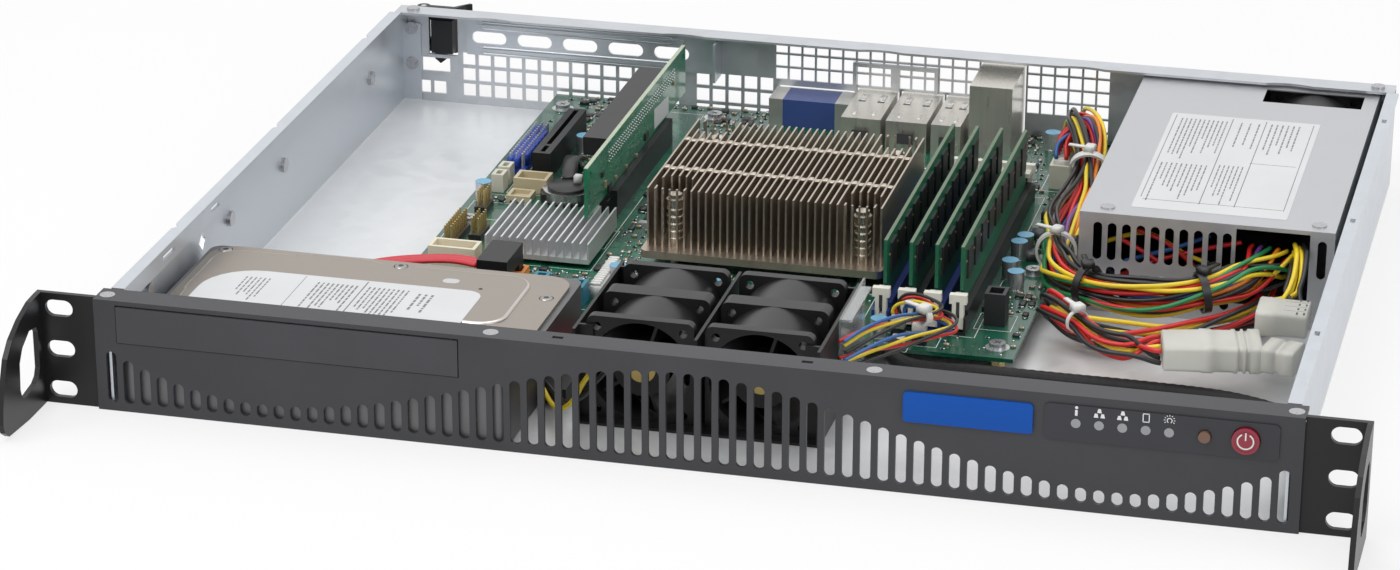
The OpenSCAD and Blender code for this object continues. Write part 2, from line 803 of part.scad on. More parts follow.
module rear_panel() color([0.72, 0.74, 0.77]) {
  difference() {
    across(rear_in, sheet_t)
      difference() {
        translate([-half_w, 0]) square([case_w, panel_h]);
        for (i = [0:len(lattice_at) - 1])
          lattice(lattice_at[i], lattice_counts[i], lattice_pitch, lattice_hole);
        for (i = [0:len(fine_at) - 1])
          lattice(fine_at[i], fine_counts[i], fine_pitch, fine_hole);
        translate(tab_window[0]) square(tab_window[1] - tab_window[0]);
        translate([clamp_window_x[0], clamp_window_z[0]])
          square([clamp_window_x[1] - clamp_window_x[0], clamp_window_z[1] - clamp_window_z[0]]);
        translate([half_w * card_opening_shares[0], card_opening_z[0]])
          square([
            half_w * (card_opening_shares[1] - card_opening_shares[0]),
            card_opening_z[1] - card_opening_z[0]
          ]);
        for (w = port_windows)
          translate([w[0], w[1]]) square([w[2] - w[0], w[3] - w[1]]);
        translate([psu_x + psu_window_gap, inlet_window_z[0]])
          square([psu_w - 2 * psu_window_gap, inlet_window_z[1] - inlet_window_z[0]]);
      }
    for (s = [-1, 1], z = rivet_z)
      rod_y(
        s * (half_w - sheet_t - return_w / 2), rear_in - overrun, z,
        sheet_t + 2 * overrun, screw_d + screw_play
      );
  }
  clamp_mount();
  port_frame_plate();
  difference() {
    block([-half_w, case_d - rear_flange, lid_z], [half_w, case_d, panel_h]);
    for (x = rear_screw_x)
      rod_z(x, case_d - rear_flange / 2, lid_z - overrun, sheet_t + 2 * overrun, screw_d + screw_play);
    for (s = [-0.8:0.4:0.8])
      rod_z(
        s * half_w, case_d - rear_flange + flange_wave - wave_bend_d / 2, lid_z - overrun,
        sheet_t + 2 * overrun, wave_bend_d
      );
  }
}

// Front panel
function wave_top(x) = abs(x) <= wave_length / 2
  ? wave_mid + wave_amp * cos(360 * x / wave_length)
  : wave_mid - wave_amp + wave_end_rise * pow((abs(x) - wave_length / 2) / wave_end_run, 2);

module vent_grille() {
  for (i = [0:vent_count - 1])
    let (x = (i - (vent_count - 1) / 2) * vent_pitch)
      translate([x, 0]) slot_outline(vent_low, wave_top(x), vent_w);
}

module control_holes(play) {
  for (i = [0:light_count - 1])
    translate([light_x + i * light_pitch, overlay_z]) circle(d = light_d + play, $fn = 32);
  translate([reset_x, overlay_z]) circle(d = reset_d + 2 * button_play, $fn = 32);
  translate([power_x, overlay_z]) circle(d = power_d + 2 * button_play, $fn = 48);
}

module front_panel() color([0.27, 0.28, 0.30]) {
  across(0, panel_t)
    difference() {
      translate([-panel_half, 0]) square([panel_w, panel_h]);
      vent_grille();
      control_holes(screw_play);
      translate([blank_x - blank_seam, blank_z - blank_seam])
        square([blank_w + 2 * blank_seam, blank_h + 2 * blank_seam]);
    }
  difference() {
    block([-panel_half, panel_t / 2, panel_h - panel_t], [panel_half, panel_flange, panel_h]);
    for (x = flange_screw_x) {
      rod_z(x, panel_flange / 2, panel_h - panel_t - overrun, panel_t + 2 * overrun, screw_d + screw_play);
      rod_z(x, panel_flange / 2, panel_h - screw_head_h, overrun + screw_head_h, screw_head_d + screw_play);
    }
    for (x = hook_hole_x)
      translate([x - hook_hole[0] / 2, panel_flange / 2, panel_h - panel_t - overrun])
        cube([hook_hole[0], hook_hole[1], panel_t + 2 * overrun]);
  }
  for (x = post_x)
    rod_y(x, panel_t / 2, post_z, board_gap_y - panel_t / 2, post_d);
}

module drive_bay_blank() color([0.25, 0.26, 0.28]) {
  translate([blank_x, 0, blank_z])
    difference() {
      union() {
        translate([0, -blank_seam, 0]) cube([blank_w, panel_t + blank_seam, blank_h - blank_seam]);
        translate([0, -blank_seam, 0]) cube([blank_w, blank_t + blank_seam, blank_h - 5 * blank_seam]);
        translate([-blank_lip, panel_t + seam, 0])
          cube([blank_w + 2 * blank_lip, blank_t, blank_h - 5 * blank_seam]);
      }
      translate([blank_lip, panel_t, blank_lip])
        cube([blank_w - 2 * blank_lip, blank_t + overrun, blank_h - 4 * blank_lip]);
    }
}

// Ears: a slotted plate behind the panel's plane, a flange along the side wall and a handle plate

module right_ear() {
  difference() {
    block([half_w, ear_y, 0], [ear_half, ear_y + ear_t, panel_h]);
    for (i = [-1:1])
      translate([slot_span / 2, ear_y - overrun, panel_h / 2 + i * slot_rise])
        across(0, ear_t + 2 * overrun) wide_slot_outline(slot_w, slot_h);
    block(
      [half_w - overrun, ear_y - overrun, rail_top - sheet_t - seam],
      [panel_half + seam, ear_y + ear_t + overrun, panel_h + overrun]
    );
  }
  block(
    [half_w + seam / 2, ear_y, ear_gap],
    [half_w + ear_t, ear_y + ear_flange, rail_top - rail_h - ear_gap]
  );
  along(ear_half - ear_t, ear_t)
    difference() {
      polygon(concat(
        [for (p = handle_share) [p[0] * handle_reach, p[1] * panel_h]],
        [[ear_y + ear_t, 0], [ear_y + ear_t, panel_h]]
      ));
      polygon([for (p = finger_share) [p[0] * handle_reach, p[1] * panel_h]]);
    }
}
module right_rack_ear() color([0.10, 0.10, 0.11]) right_ear();
module left_rack_ear() color([0.10, 0.10, 0.11]) mirror([1, 0, 0]) right_ear();

// Badge, overlay, lights and buttons
module badge_plate() color([0.05, 0.30, 0.75])
  intersection() {
    translate([badge_x, 0, overlay_z - badge_h / 2])
      across(-badge_t, badge_t) soft_square([badge_w, badge_h], badge_h / 8);
    translate([badge_x - overrun, badge_crown_d / 2 - badge_t, overlay_z])
      rotate([0, 90, 0]) cylinder(h = badge_w + 2 * overrun, d = badge_crown_d, $fn = 240);
  }

module control_overlay() color([0.20, 0.21, 0.23])
  across(-overlay_t, overlay_t)
    difference() {
      translate([overlay_x, overlay_z - overlay_h / 2]) soft_square([overlay_w, overlay_h], overlay_h / 7);
      control_holes(screw_play);
    }

module status_lights() color([0.55, 0.57, 0.60])
  for (i = [0:light_count - 1])
    rod_y(
      light_x + i * light_pitch, -overlay_t - seam, overlay_z,
      board_gap_y + overlay_t + seam, light_d
    );

module button(x, d) {
  rod_y(x, -overlay_t - button_proud, overlay_z, button_l + overlay_t + button_proud, d);
  rod_y(x, panel_t + button_play, overlay_z, collar_h, d + 2 * collar_rim);
}
module power_button() color([0.55, 0.10, 0.16])
  difference() {
    button(power_x, power_d);
    translate([power_x, -overlay_t - button_proud - overrun, overlay_z])
      across(0, overrun + power_ring_deep)
        difference() {
          circle(d = 0.82 * power_d, $fn = 48);
          circle(d = 0.7 * power_d, $fn = 48);
        }
  }
module reset_button() color([0.45, 0.30, 0.22]) button(reset_x, reset_d);

module control_board() color([0.05, 0.35, 0.22]) {
  block(
    [overlay_x + control_board_margin, board_gap_y, overlay_z - overlay_h / 2],
    [overlay_x + overlay_w, board_gap_y + board_t, overlay_z + overlay_h / 2]
  );
  switch_y = button_l + button_travel + button_play;
  for (x = [reset_x, power_x])
    rod_y(x, switch_y, overlay_z, board_gap_y + button_play - switch_y, switch_d);
  lead = control_lead_route[0];
  block(
    [lead[0] - lead_socket[0] / 2, board_gap_y, lead[2] - lead_socket[2] / 2],
    [lead[0] + lead_socket[0] / 2, lead[1] - seam, lead[2] + lead_socket[2] / 2]
  );
}

// Screws of the case
module flat_screw(x, y, z, l) {
  rod_z(x, y, z - l, l, screw_d);
  difference() {
    rod_z(x, y, z - screw_head_h, screw_head_h, screw_head_d);
    for (a = [0, 90])
      translate([x, y, z])
        rotate([0, 0, a])
          translate([-cross_l / 2, -cross_w / 2, -cross_w]) cube([cross_l, cross_w, cross_w + overrun]);
  }
}

module case_screws() color([0.80, 0.80, 0.82]) {
  for (x = flange_screw_x)
    flat_screw(x, panel_flange / 2, panel_h, flange_screw_l);
  for (x = rear_screw_x)
    flat_screw(x, case_d - rear_flange / 2, panel_h + screw_head_h, rear_screw_l + screw_head_h);
  for (p = stud_yz)
    rod_x(-(half_w - sheet_t), p[0], p[1], stud_h, stud_d);
  for (s = [-1, 1], z = rivet_z)
    translate([s * (half_w - sheet_t - return_w / 2), rear_in - sheet_t - seam - screw_head_h, z]) {
      rod_y(0, 0, 0, screw_head_h, screw_head_d);
      rod_y(0, 0, 0, screw_head_h + 2 * sheet_t + seam, screw_d);
    }
  for (p = psu_screw_shares)
    rod_z(psu_x + p[0] * psu_w, psu_y + p[1] * psu_d, psu_top, screw_head_h / 2, screw_head_d);
  rod_y(psu_x + psu_w / 3, psu_y - screw_head_h, psu_z + psu_h / 3, screw_head_h, screw_head_d);
}

// Main board and what it stands on
module board_holes() {
  for (p = hole_shares)
    translate([board_x + p[0] * board_w, board_y + p[1] * board_w]) children();
}
module main_board() color([0.03, 0.36, 0.22])
  flat(board_z, board_t)
    difference() {
      translate([board_x, board_y]) square(board_w);
      board_holes() circle(d = board_hole_d, $fn = 32);
    }
module board_standoffs() color([0.78, 0.70, 0.45])
  board_holes()
    translate([0, 0, sheet_t])
      difference() {
        cylinder(h = standoff_h, d = standoff_d, $fn = 6);
        translate([0, 0, standoff_h / 3]) cylinder(h = standoff_h, d = screw_d + screw_play, $fn = 32);
      }
module board_screws() color([0.83, 0.83, 0.85])
  board_holes()
    translate([0, 0, board_top])
      difference() {
        union() {
          cylinder(h = board_screw_head_h, d = board_screw_head_d, $fn = 40);
          translate([0, 0, -board_t - standoff_h / 3])
            cylinder(h = board_t + standoff_h / 3 + board_screw_head_h / 2, d = screw_d, $fn = 32);
        }
        for (a = [45, 135])
          rotate([0, 0, a])
            translate([-cross_l / 2, -cross_w / 2, board_screw_head_h - cross_w])
              cube([cross_l, cross_w, cross_w + overrun]);
      }

// Processor socket with its load frame under the cooler
module cpu_socket() color([0.25, 0.24, 0.23])
  on_board(cooler_share) {
    slab([socket_w, socket_w, socket_h]);
    slab([chip_w, chip_w, cooler_seat - socket_h - seam], socket_h);
    difference() {
      slab([frame_w, frame_w, socket_h + frame_t / 2]);
      slab([socket_w, socket_w, socket_h + frame_t + 2 * overrun], -overrun);
    }
    translate([-(cooler_w / 2 + retain_w), -frame_t, 0]) cube([2 * retain_w, 2 * frame_t, frame_t]);
  }

// Processor heatsink: base plate and a stack of folded fins, cut out round the four screws
module at_cooler_screws()
  for (p = cooler_screw_shares)
    translate([p[0] * cooler_w, p[1] * cooler_d, 0]) children();
module cpu_heatsink() color([0.60, 0.55, 0.48])
  on_board(cooler_share)
    difference() {
      union() {
        flat(cooler_seat, cooler_base)
          translate([-(cooler_w + cooler_base_margin) / 2, -cooler_d / 2 - 2 * cooler_base_margin])
            soft_square(
              [cooler_w + cooler_base_margin, cooler_d + 3 * cooler_base_margin], cooler_base_margin
            );
        for (i = [0:cooler_fins - 1])
          translate([
            -cooler_w / 2 + i * (cooler_w - fin_t) / (cooler_fins - 1), -cooler_d / 2,
            cooler_seat + cooler_base / 2
          ])
            cube([fin_t, cooler_d, cooler_top - cooler_seat - cooler_base / 2]);
        for (s = [-0.2, 0.2])
          translate([0, s * cooler_d, 0]) slab([cooler_w, band_w, band_h], cooler_top - band_h);
      }
      at_cooler_screws() {
        rod_z(0, 0, cooler_seat + cooler_base, cooler_top, cooler_notch_d);
        rod_z(0, 0, 0, cooler_top, cooler_shank_d + 2 * screw_play);
      }
    }
module heatsink_spring_screws() color([0.72, 0.70, 0.64])
  on_board(cooler_share)
    at_cooler_screws() {
      foot = cooler_seat + cooler_base;
      spring_l = 0.72 * cooler_top - foot;
      rod_z(0, 0, 0, 0.8 * cooler_top, cooler_shank_d);
      rod_z(0, 0, foot + spring_l, 0.08 * cooler_top, spring_d + screw_play);
      rod_z(0, 0, 0.8 * cooler_top, 0.06 * cooler_top, cooler_shank_d + 1.5 * spring_wire);
      rod_z(0, 0, foot, spring_l, spring_d - 1.4 * spring_wire);
      for (i = [0:spring_turns - 1])
        translate([0, 0, foot + (i + 0.5) * spring_l / spring_turns])
          rotate_extrude($fn = 40)
            translate([(spring_d - spring_wire) / 2, 0]) circle(d = spring_wire, $fn = 16);
    }

module chipset_heatsink() color([0.68, 0.70, 0.72])
  on_board(chip_sink_share) {
    slab([chip_sink_w, chip_sink_w, chip_sink_base], chip_h);
    for (i = [0:chip_sink_fins - 1])
      translate([
        -chip_sink_w / 2 + i * (chip_sink_w - fin_t) / (chip_sink_fins - 1), -chip_sink_w / 2,
        chip_h + chip_sink_base / 2
      ])
        cube([fin_t, chip_sink_w, chip_sink_h - chip_h - chip_sink_base / 2]);
  }

// Memory: slots with a fork at each end, modules and latches
module at_dimm(i) on_board(dimm_share) translate([(i - (dimm_count - 1) / 2) * dimm_pitch, 0, 0]) children();
module dimm_fork() {
  difference() {
    block(
      [-dimm_slot_w / 2, (dimm_slot_l - overrun) / 2, 0],
      [dimm_slot_w / 2, (dimm_slot_l - overrun) / 2 + fork_l, 0.8 * dimm_slot_h]
    );
    translate([-latch_w / 2 - dimm_slot_gap, dimm_slot_l / 2, dimm_seat_h / 2])
      cube([latch_w + 2 * dimm_slot_gap, fork_l + overrun, dimm_slot_h]);
  }
  rod_x(
    -dimm_slot_w / 2 + overrun / 2, pivot_y, latch_pivot_h,
    dimm_slot_w - overrun, latch_pin_d
  );
}
module memory_slots() color([0.07, 0.09, 0.25])
  for (i = [0:dimm_count - 1])
    at_dimm(i) {
      difference() {
        translate([-dimm_slot_w / 2, -dimm_slot_l / 2, 0]) cube([dimm_slot_w, dimm_slot_l, dimm_slot_h]);
        translate([-dimm_t / 2 - dimm_slot_gap, -dimm_l / 2 - dimm_slot_gap, dimm_seat_h])
          cube([dimm_t + 2 * dimm_slot_gap, dimm_l + 2 * dimm_slot_gap, dimm_slot_h]);
      }
      dimm_fork();
      mirror([0, 1, 0]) dimm_fork();
    }
module memory_modules() color([0.05, 0.38, 0.24])
  for (i = [0:dimm_count - 1])
    at_dimm(i)
      translate([0, 0, dimm_seat_h]) {
        along(-dimm_t / 2, dimm_t)
          difference() {
            translate([-dimm_l / 2, seam]) square([dimm_l, dimm_h]);
            for (s = [-1, 1])
              translate([s * dimm_l / 2, notch_z]) circle(r = notch_r, $fn = 24);
          }
        for (s = [-1, 1], c = [0:chips_per_side - 1])
          translate([
            s * (dimm_t + dimm_chip[0]) / 2 - dimm_chip[0] / 2 - s * seam / 2,
            (c - (chips_per_side - 1) / 2) * dimm_l / (chips_per_side + 0.4) - dimm_chip[1] / 2,
            dimm_h * 0.52
          ])
            cube(dimm_chip);
      }

// A latch in its rest position, its pivot on the X axis of this frame
module latch_shape() {
  difference() {
    union() {
      slab([latch_w, latch_t, latch_h], dimm_seat_h - latch_pivot_h);
      slab([dimm_slot_w, latch_t, latch_h * (1 - latch_head_share)], latch_h * latch_head_share);
      translate([-latch_w / 2, -latch_t / 2 - latch_hook, latch_h * latch_head_share])
        cube([latch_w, latch_hook + overrun, latch_h * hook_share]);
    }
    rod_x(-latch_w, 0, 0, 2 * latch_w, latch_pin_d + 2 * pivot_play);
    translate([-latch_w / 7, -latch_t, latch_pin_d])
      cube([2 * latch_w / 7, 2 * latch_t, latch_h * 0.5]);
  }
}
module latch(i, end)
  color([0.90, 0.88, 0.82])
    at_dimm(i)
      mirror([0, end < 0 ? 1 : 0, 0])
        translate([0, pivot_y, latch_pivot_h]) latch_shape();

// Card slots: one short slot, the riser's slot on the board and the slot that the riser carries
module card_slot(l) {
  difference() {
    slab([card_slot_w, l, card_slot_h]);
    translate([-riser_t / 2 - card_slot_gap, -l / 2 + card_key, card_slot_h - slot_mouth_h])
      cube([riser_t + 2 * card_slot_gap, l * 0.13, slot_mouth_h + overrun]);
    translate([-riser_t / 2 - card_slot_gap, -l / 2 + 2 * card_key + l * 0.13, card_slot_h - slot_mouth_h])
      cube([riser_t + 2 * card_slot_gap, l * 0.87 - 3 * card_key, slot_mouth_h + overrun]);
  }
}
module card_slots() color([0.11, 0.11, 0.12]) {
  on_board(short_slot_share) card_slot(short_slot_l);
  on_board(riser_share) card_slot(wide_slot_l);
  on_board(riser_share)
    translate([-riser_t / 2 - seam, riser_shift, riser_slot_top - card_slot_w / 2])
      rotate([0, -90, 0]) card_slot(wide_slot_l);
}

module riser_card() color([0.05, 0.42, 0.27])
  on_board(riser_share)
    along(-riser_t / 2, riser_t)
      difference() {
        union() {
          translate([riser_rear - riser_l, card_slot_h + 2 * seam]) square([riser_l, riser_h - card_slot_h]);
          translate([-wide_slot_l / 2 + 2 * card_key + wide_slot_l * 0.13 + card_slot_gap, riser_lift])
            square([wide_slot_l * 0.87 - 3 * card_key - 2 * card_slot_gap, card_slot_h]);
          translate([-wide_slot_l / 2 + card_key + card_slot_gap, riser_lift])
            square([wide_slot_l * 0.13 - 2 * card_slot_gap, card_slot_h]);
        }
        for (y = [riser_rear - riser_l + 2 * card_key, riser_rear - 2 * card_key])
          translate([y, riser_h - 2 * card_key]) circle(d = screw_d, $fn = 24);
      }

// Coin cell in its holder
module coin_cell() color([0.80, 0.80, 0.80])
  on_board(cell_share)
    translate([0, 0, cell_wall + seam]) cylinder(h = cell_h, d = cell_d, $fn = 64);
module cell_holder()
  on_board(cell_share)
    difference() {
      cylinder(h = cell_h, d = cell_d + 2 * cell_wall, $fn = 64);
      translate([0, 0, cell_wall]) cylinder(h = cell_h, d = cell_d + 2 * seam, $fn = 64);
      translate([-cell_d, -cell_d - cell_wall, cell_wall]) cube([2 * cell_d, cell_d * 0.72, cell_h]);
    }

// Ports on the rear edge: each runs from the board through its window in the rear panel
function window_box(i, lift) = [
  [port_windows[i][0] + port_window_gap, board_top + lift],
  [port_windows[i][2] - port_window_gap, port_windows[i][3] - port_window_gap]
];
module shell(i, l) {
  w = window_box(i, 0);
  block([w[0][0], case_d + port_out - l, w[0][1]], [w[1][0], case_d + port_out, w[1][1]]);
}
module mouth(i, low_share, high_share, deep) {
  w = window_box(i, 0);
  h = w[1][1] - w[0][1];
  block(
    [w[0][0] + jack_wall, case_d + port_out - deep, w[0][1] + jack_wall + low_share * (h - jack_wall)],
    [w[1][0] - jack_wall, case_d + port_out + overrun, w[0][1] + high_share * (h - jack_wall)]
  );
}
module video_port() color([0.10, 0.16, 0.50]) {
  w = window_box(0, 0);
  block(
    [w[0][0] - 2 * jack_wall, rear_in - seam - video_l, board_top],
    [w[1][0] + 2 * jack_wall, rear_in - seam, w[1][1]]
  );
  difference() {
    block(
      [w[0][0] + 3 * jack_wall, rear_in - overrun, w[0][1] + 2 * jack_wall],
      [w[1][0] - 3 * jack_wall, case_d + 5 * port_out, w[1][1] - 2 * jack_wall]
    );
    block(
      [w[0][0] + 4 * jack_wall, rear_in + overrun, w[0][1] + 3 * jack_wall],
      [w[1][0] - 4 * jack_wall, case_d + 6 * port_out, w[1][1] - 3 * jack_wall]
    );
  }
  for (x = [w[0][0] + jack_wall, w[1][0] - jack_wall])
    rod_y(x, rear_in - overrun, (w[0][1] + w[1][1]) / 2, 5 * port_out + overrun, screw_d);
}
module port_shells() color([0.72, 0.70, 0.66]) {
  for (i = [1, 2])
    difference() {
      shell(i, jack_l);
      mouth(i, 0, 1, jack_deep);
    }
  difference() {
    shell(3, jack_l);
    mouth(3, 0, 0.46, jack_deep);
    mouth(3, 0.54, 1, jack_deep);
  }
  difference() {
    shell(4, stack_l);
    mouth(4, 0, 0.46, jack_deep);
    mouth(4, 0.54, 1, jack_deep);
  }
}

// Sockets and headers on the board: middle as a share of the board, size in millimetres
module open_box(size, wall) {
  difference() {
    slab(size);
    slab([size[0] - 2 * wall, size[1] - 2 * wall, size[2]], wall);
  }
}
module board_sockets() color([0.13, 0.13, 0.14]) {
  on_board(power_socket_share) open_box(power_socket, socket_key);
  on_board(black_header_share) open_box(black_header, socket_key);
  on_board(tan_share) open_box(tan_size, socket_key);
  on_board(chip_socket_share) open_box(chip_socket_size, socket_key);
  for (p = white_header_share)
    on_board(p) open_box(white_header, socket_key);
  for (p = fan_socket_share)
    on_board(p) slab(fan_socket);
  cell_holder();
}
module sata_ports() color([0.90, 0.86, 0.72]) {
  on_board(sata_row_share) open_box(sata_row_size, socket_key);
  on_board(orange_share) open_box(orange_size, socket_key);
  for (p = blue_port_share)
    on_board(p) open_box(blue_port_size, socket_key);
}

module pin_header(counts) {
  slab([counts[0] * pin_pitch, counts[1] * pin_pitch, pin_base_h]);
  for (c = [0:counts[0] - 1], r = [0:counts[1] - 1])
    translate([(c - (counts[0] - 1) / 2) * pin_pitch, (r - (counts[1] - 1) / 2) * pin_pitch, 0])
      slab([pin_w, pin_w, pin_h], pin_base_h / 2);
}
module pin_headers() color([0.12, 0.20, 0.55])
  for (i = [0:len(header_shares) - 1])
    on_board(header_shares[i]) pin_header(header_counts[i]);

module capacitors() color([0.70, 0.71, 0.74])
  for (p = cap_shares)
    on_board(p)
      difference() {
        cylinder(h = cap_h, d = cap_d, $fn = 40);
        translate([0, 0, cap_h / 8])
          rotate_extrude($fn = 40)
            translate([cap_d / 2, 0]) circle(d = cap_d / 14, $fn = 16);
      }

module board_chips() color([0.10, 0.10, 0.11])
  for (i = [0:len(chip_shares) - 1])
    on_board(chip_shares[i]) slab(chip_sizes[i]);

// Fans. In these modules the air flows along +Z from z = 0
module fan_face(side) translate([-side / 2, -side / 2]) soft_square([side, side], side / 14);
module fan_flange(z, side) {
  translate([0, 0, z])
    linear_extrude(fan_flange_t)
      difference() {
        fan_face(side);
        for (x = [-0.4, 0.4], y = [-0.4, 0.4])
          translate([x * side, y * side]) circle(d = screw_d + 2 * screw_play, $fn = 24);
      }
}
module motor_mount(z, side, shaft_l) {
  translate([0, 0, z]) {
    cylinder(h = mount_t, d = hub_d, $fn = 48);
    for (a = [45:90:315])
      rotate([0, 0, a])
        translate([0, -strut_w / 2, mount_t / 4]) cube([side / 2 - duct_wall / 2, strut_w, mount_t / 2]);
  }
  translate([0, 0, z - max(shaft_l, 0)]) cylinder(h = mount_t / 2 + abs(shaft_l), d = shaft_d, $fn = 32);
}
module fan_frame(l, side, halves) {
  half_l = l / halves;
  difference() {
    union() {
      translate([0, 0, fan_flange_t / 2]) cylinder(h = l - fan_flange_t, d = side - seam, $fn = 72);
      for (h = [0:halves - 1], z = [0, half_l - fan_flange_t])
        fan_flange(h * half_l + z, side);
    }
    translate([0, 0, -overrun]) cylinder(h = l + 2 * overrun, d = side - 2 * duct_wall, $fn = 72);
  }
}
module rotor(l, side, hand) {
  tip = side / 2 - duct_wall - tip_play;
  difference() {
    cylinder(h = l, d = hub_d, $fn = 64);
    translate([0, 0, cap_t]) cylinder(h = l, d = shaft_d + 2 * shaft_play, $fn = 32);
  }
  for (i = [0:blade_count - 1])
    rotate([0, 0, 360 * i / blade_count])
      translate([0, 0, blade_t])
        linear_extrude(height = l - 2 * blade_t, twist = hand * blade_turn, slices = 5)
          translate([hub_d / 2 - blade_t, -blade_t / 2]) square([tip - hub_d / 2 + blade_t, blade_t]);
}
module fan_place(x, y) translate([x, y, fan_z]) rotate([-90, 0, 0]) children();
module psu_fan_place() translate([psu_fan_x, psu_fan_y, psu_z + psu_h / 2]) rotate([-90, 0, 0]) children();
module fan_housings() color([0.08, 0.08, 0.09]) {
  for (x = fan_x)
    fan_place(x, fan_y) {
      fan_frame(fan_l, fan_side, 2);
      motor_mount(fan_l / 2 - mount_t, fan_side, rotor_l - cap_t - rotor_gap);
      mirror([0, 0, 1])
        translate([0, 0, -fan_l])
          motor_mount(fan_l / 2 - mount_t, fan_side, rotor_l - cap_t - rotor_gap);
    }
  psu_fan_place() {
    fan_frame(psu_fan_l, psu_side, 1);
    motor_mount(psu_fan_l - mount_t, psu_side, rotor_l - cap_t - rotor_gap);
  }
}
module fan_rotor(x, rear)
  color([0.12, 0.12, 0.13])
    fan_place(x, fan_y)
      if (rear) {
        translate([0, 0, fan_l]) mirror([0, 0, 1]) front_rotor(1);
      } else {
        front_rotor(-1);
      }
module front_rotor(hand)
  translate([0, 0, fan_l / 2 - mount_t - rotor_gap - rotor_l]) rotor(rotor_l, fan_side, hand);
module psu_fan_rotor()
  color([0.12, 0.12, 0.13])
    psu_fan_place()
      translate([0, 0, psu_fan_l - mount_t - rotor_gap - rotor_l]) rotor(rotor_l, psu_side, 1);

module fan_tray() color([0.07, 0.07, 0.08]) {
  x0 = fan_x[0] - fan_side / 2 - side_room;
  x1 = fan_x[1] + fan_side / 2 + side_room;
  z0 = sheet_t + seam / 2;
  difference() {
    block([x0, fan_tray_y, z0], [x1, fan_tray_y + fan_tray_l, z0 + tray_base_t]);
    for (x = fan_x)
      block(
        [x - fan_side / 2 - fan_room, fan_y - fan_room, 0],
        [x + fan_side / 2 + fan_room, fan_y + fan_l + fan_room, z0 + 2 * tray_base_t]
      );
  }
  for (x = [x0, (fan_x[0] + fan_x[1] - fan_tray_t) / 2, x1 - fan_tray_t])
    block([x, fan_tray_y, z0], [x + fan_tray_t, fan_tray_y + fan_tray_l, fan_tray_top]);
  for (y = [fan_y - fan_room - fan_tray_t, fan_y + fan_l + fan_room])
    for (x = [x0, x1 - corner_w])
      block([x, y, z0], [x + corner_w, y + fan_tray_t, fan_tray_top]);
}

module air_shroud() color([0.85, 0.87, 0.88, 0.5]) {
  x = fan_x[1] + fan_side / 2 + side_room + seam;
  block([x, shroud_y, shroud_z], [x + shroud_t, shroud_y + shroud_l, fan_tray_top + shroud_t]);
  block([x, shroud_y, fan_tray_top], [x + 6 * shroud_t, shroud_y + shroud_l * 0.8, fan_tray_top + shroud_t]);
}

// Hard drive: cast body on four pressed feet, and its cover
module drive_body() color([0.45, 0.44, 0.43])
  translate([drive_x, drive_y, drive_z])
    difference() {
      linear_extrude(drive_h - drive_cover_t - deck_t - seam)
        soft_square([drive_l, drive_w], 3 * screw_d / 2);
      translate([drive_l - drive_plug[0] / 2, drive_plug_y - drive_plug[1] / 2 - seam, seam])
        cube([drive_plug[0], drive_plug[1] + 2 * seam, drive_plug[2] + seam]);
      for (x = drive_hole_x, y = drive_hole_y)
        translate([x, y, -overrun]) cylinder(h = overrun + 2 * screw_d, d = screw_d, $fn = 24);
    }
module drive_cover() color([0.62, 0.60, 0.57])
  translate([drive_x, drive_y, drive_z + drive_h - drive_cover_t - deck_t]) {
    difference() {
      translate([cover_margin, cover_margin, 0])
        linear_extrude(drive_cover_t)
          soft_square([drive_l - 2 * cover_margin, drive_w - 2 * cover_margin], 4 * cover_margin);
      for (p = cover_screw_shares)
        translate([p[0] * drive_l, p[1] * drive_w, drive_cover_t / 2])
          cylinder(h = drive_cover_t, d = screw_head_d, $fn = 32);
    }
    translate([0, 0, drive_cover_t / 2])
      linear_extrude(deck_t + drive_cover_t / 2) {
        translate([disk_share[0] * drive_l, disk_share[1] * drive_w]) circle(d = disk_d, $fn = 96);
        difference() {
          translate(deck_at) soft_square(deck_size, deck_corner);
          translate([drive_l * cover_screw_shares[4][0], drive_w * cover_screw_shares[4][1]])
            circle(r = screw_head_d, $fn = 40);
        }
      }
  }

module sata_plug() color([0.10, 0.10, 0.11]) {
  translate([plug_at[0] - plug_size[0] / 2, plug_at[1] - plug_size[1] / 2, plug_at[2]])
    cube(plug_size);
  on_board(orange_share)
    translate([plug_at[0] - orange_x, 0, 0])
      slab(
        [plug_size[0], orange_size[1] - 2 * (socket_key + seam), plug_at[2] - board_top - socket_key],
        socket_key + seam
      );
  translate([drive_x + drive_l + 2 * seam, drive_y + drive_plug_y, 0])
    slab([drive_plug[0] + 2 * seam, drive_plug[1], drive_plug[2] - seam], drive_z + 2 * seam);
}

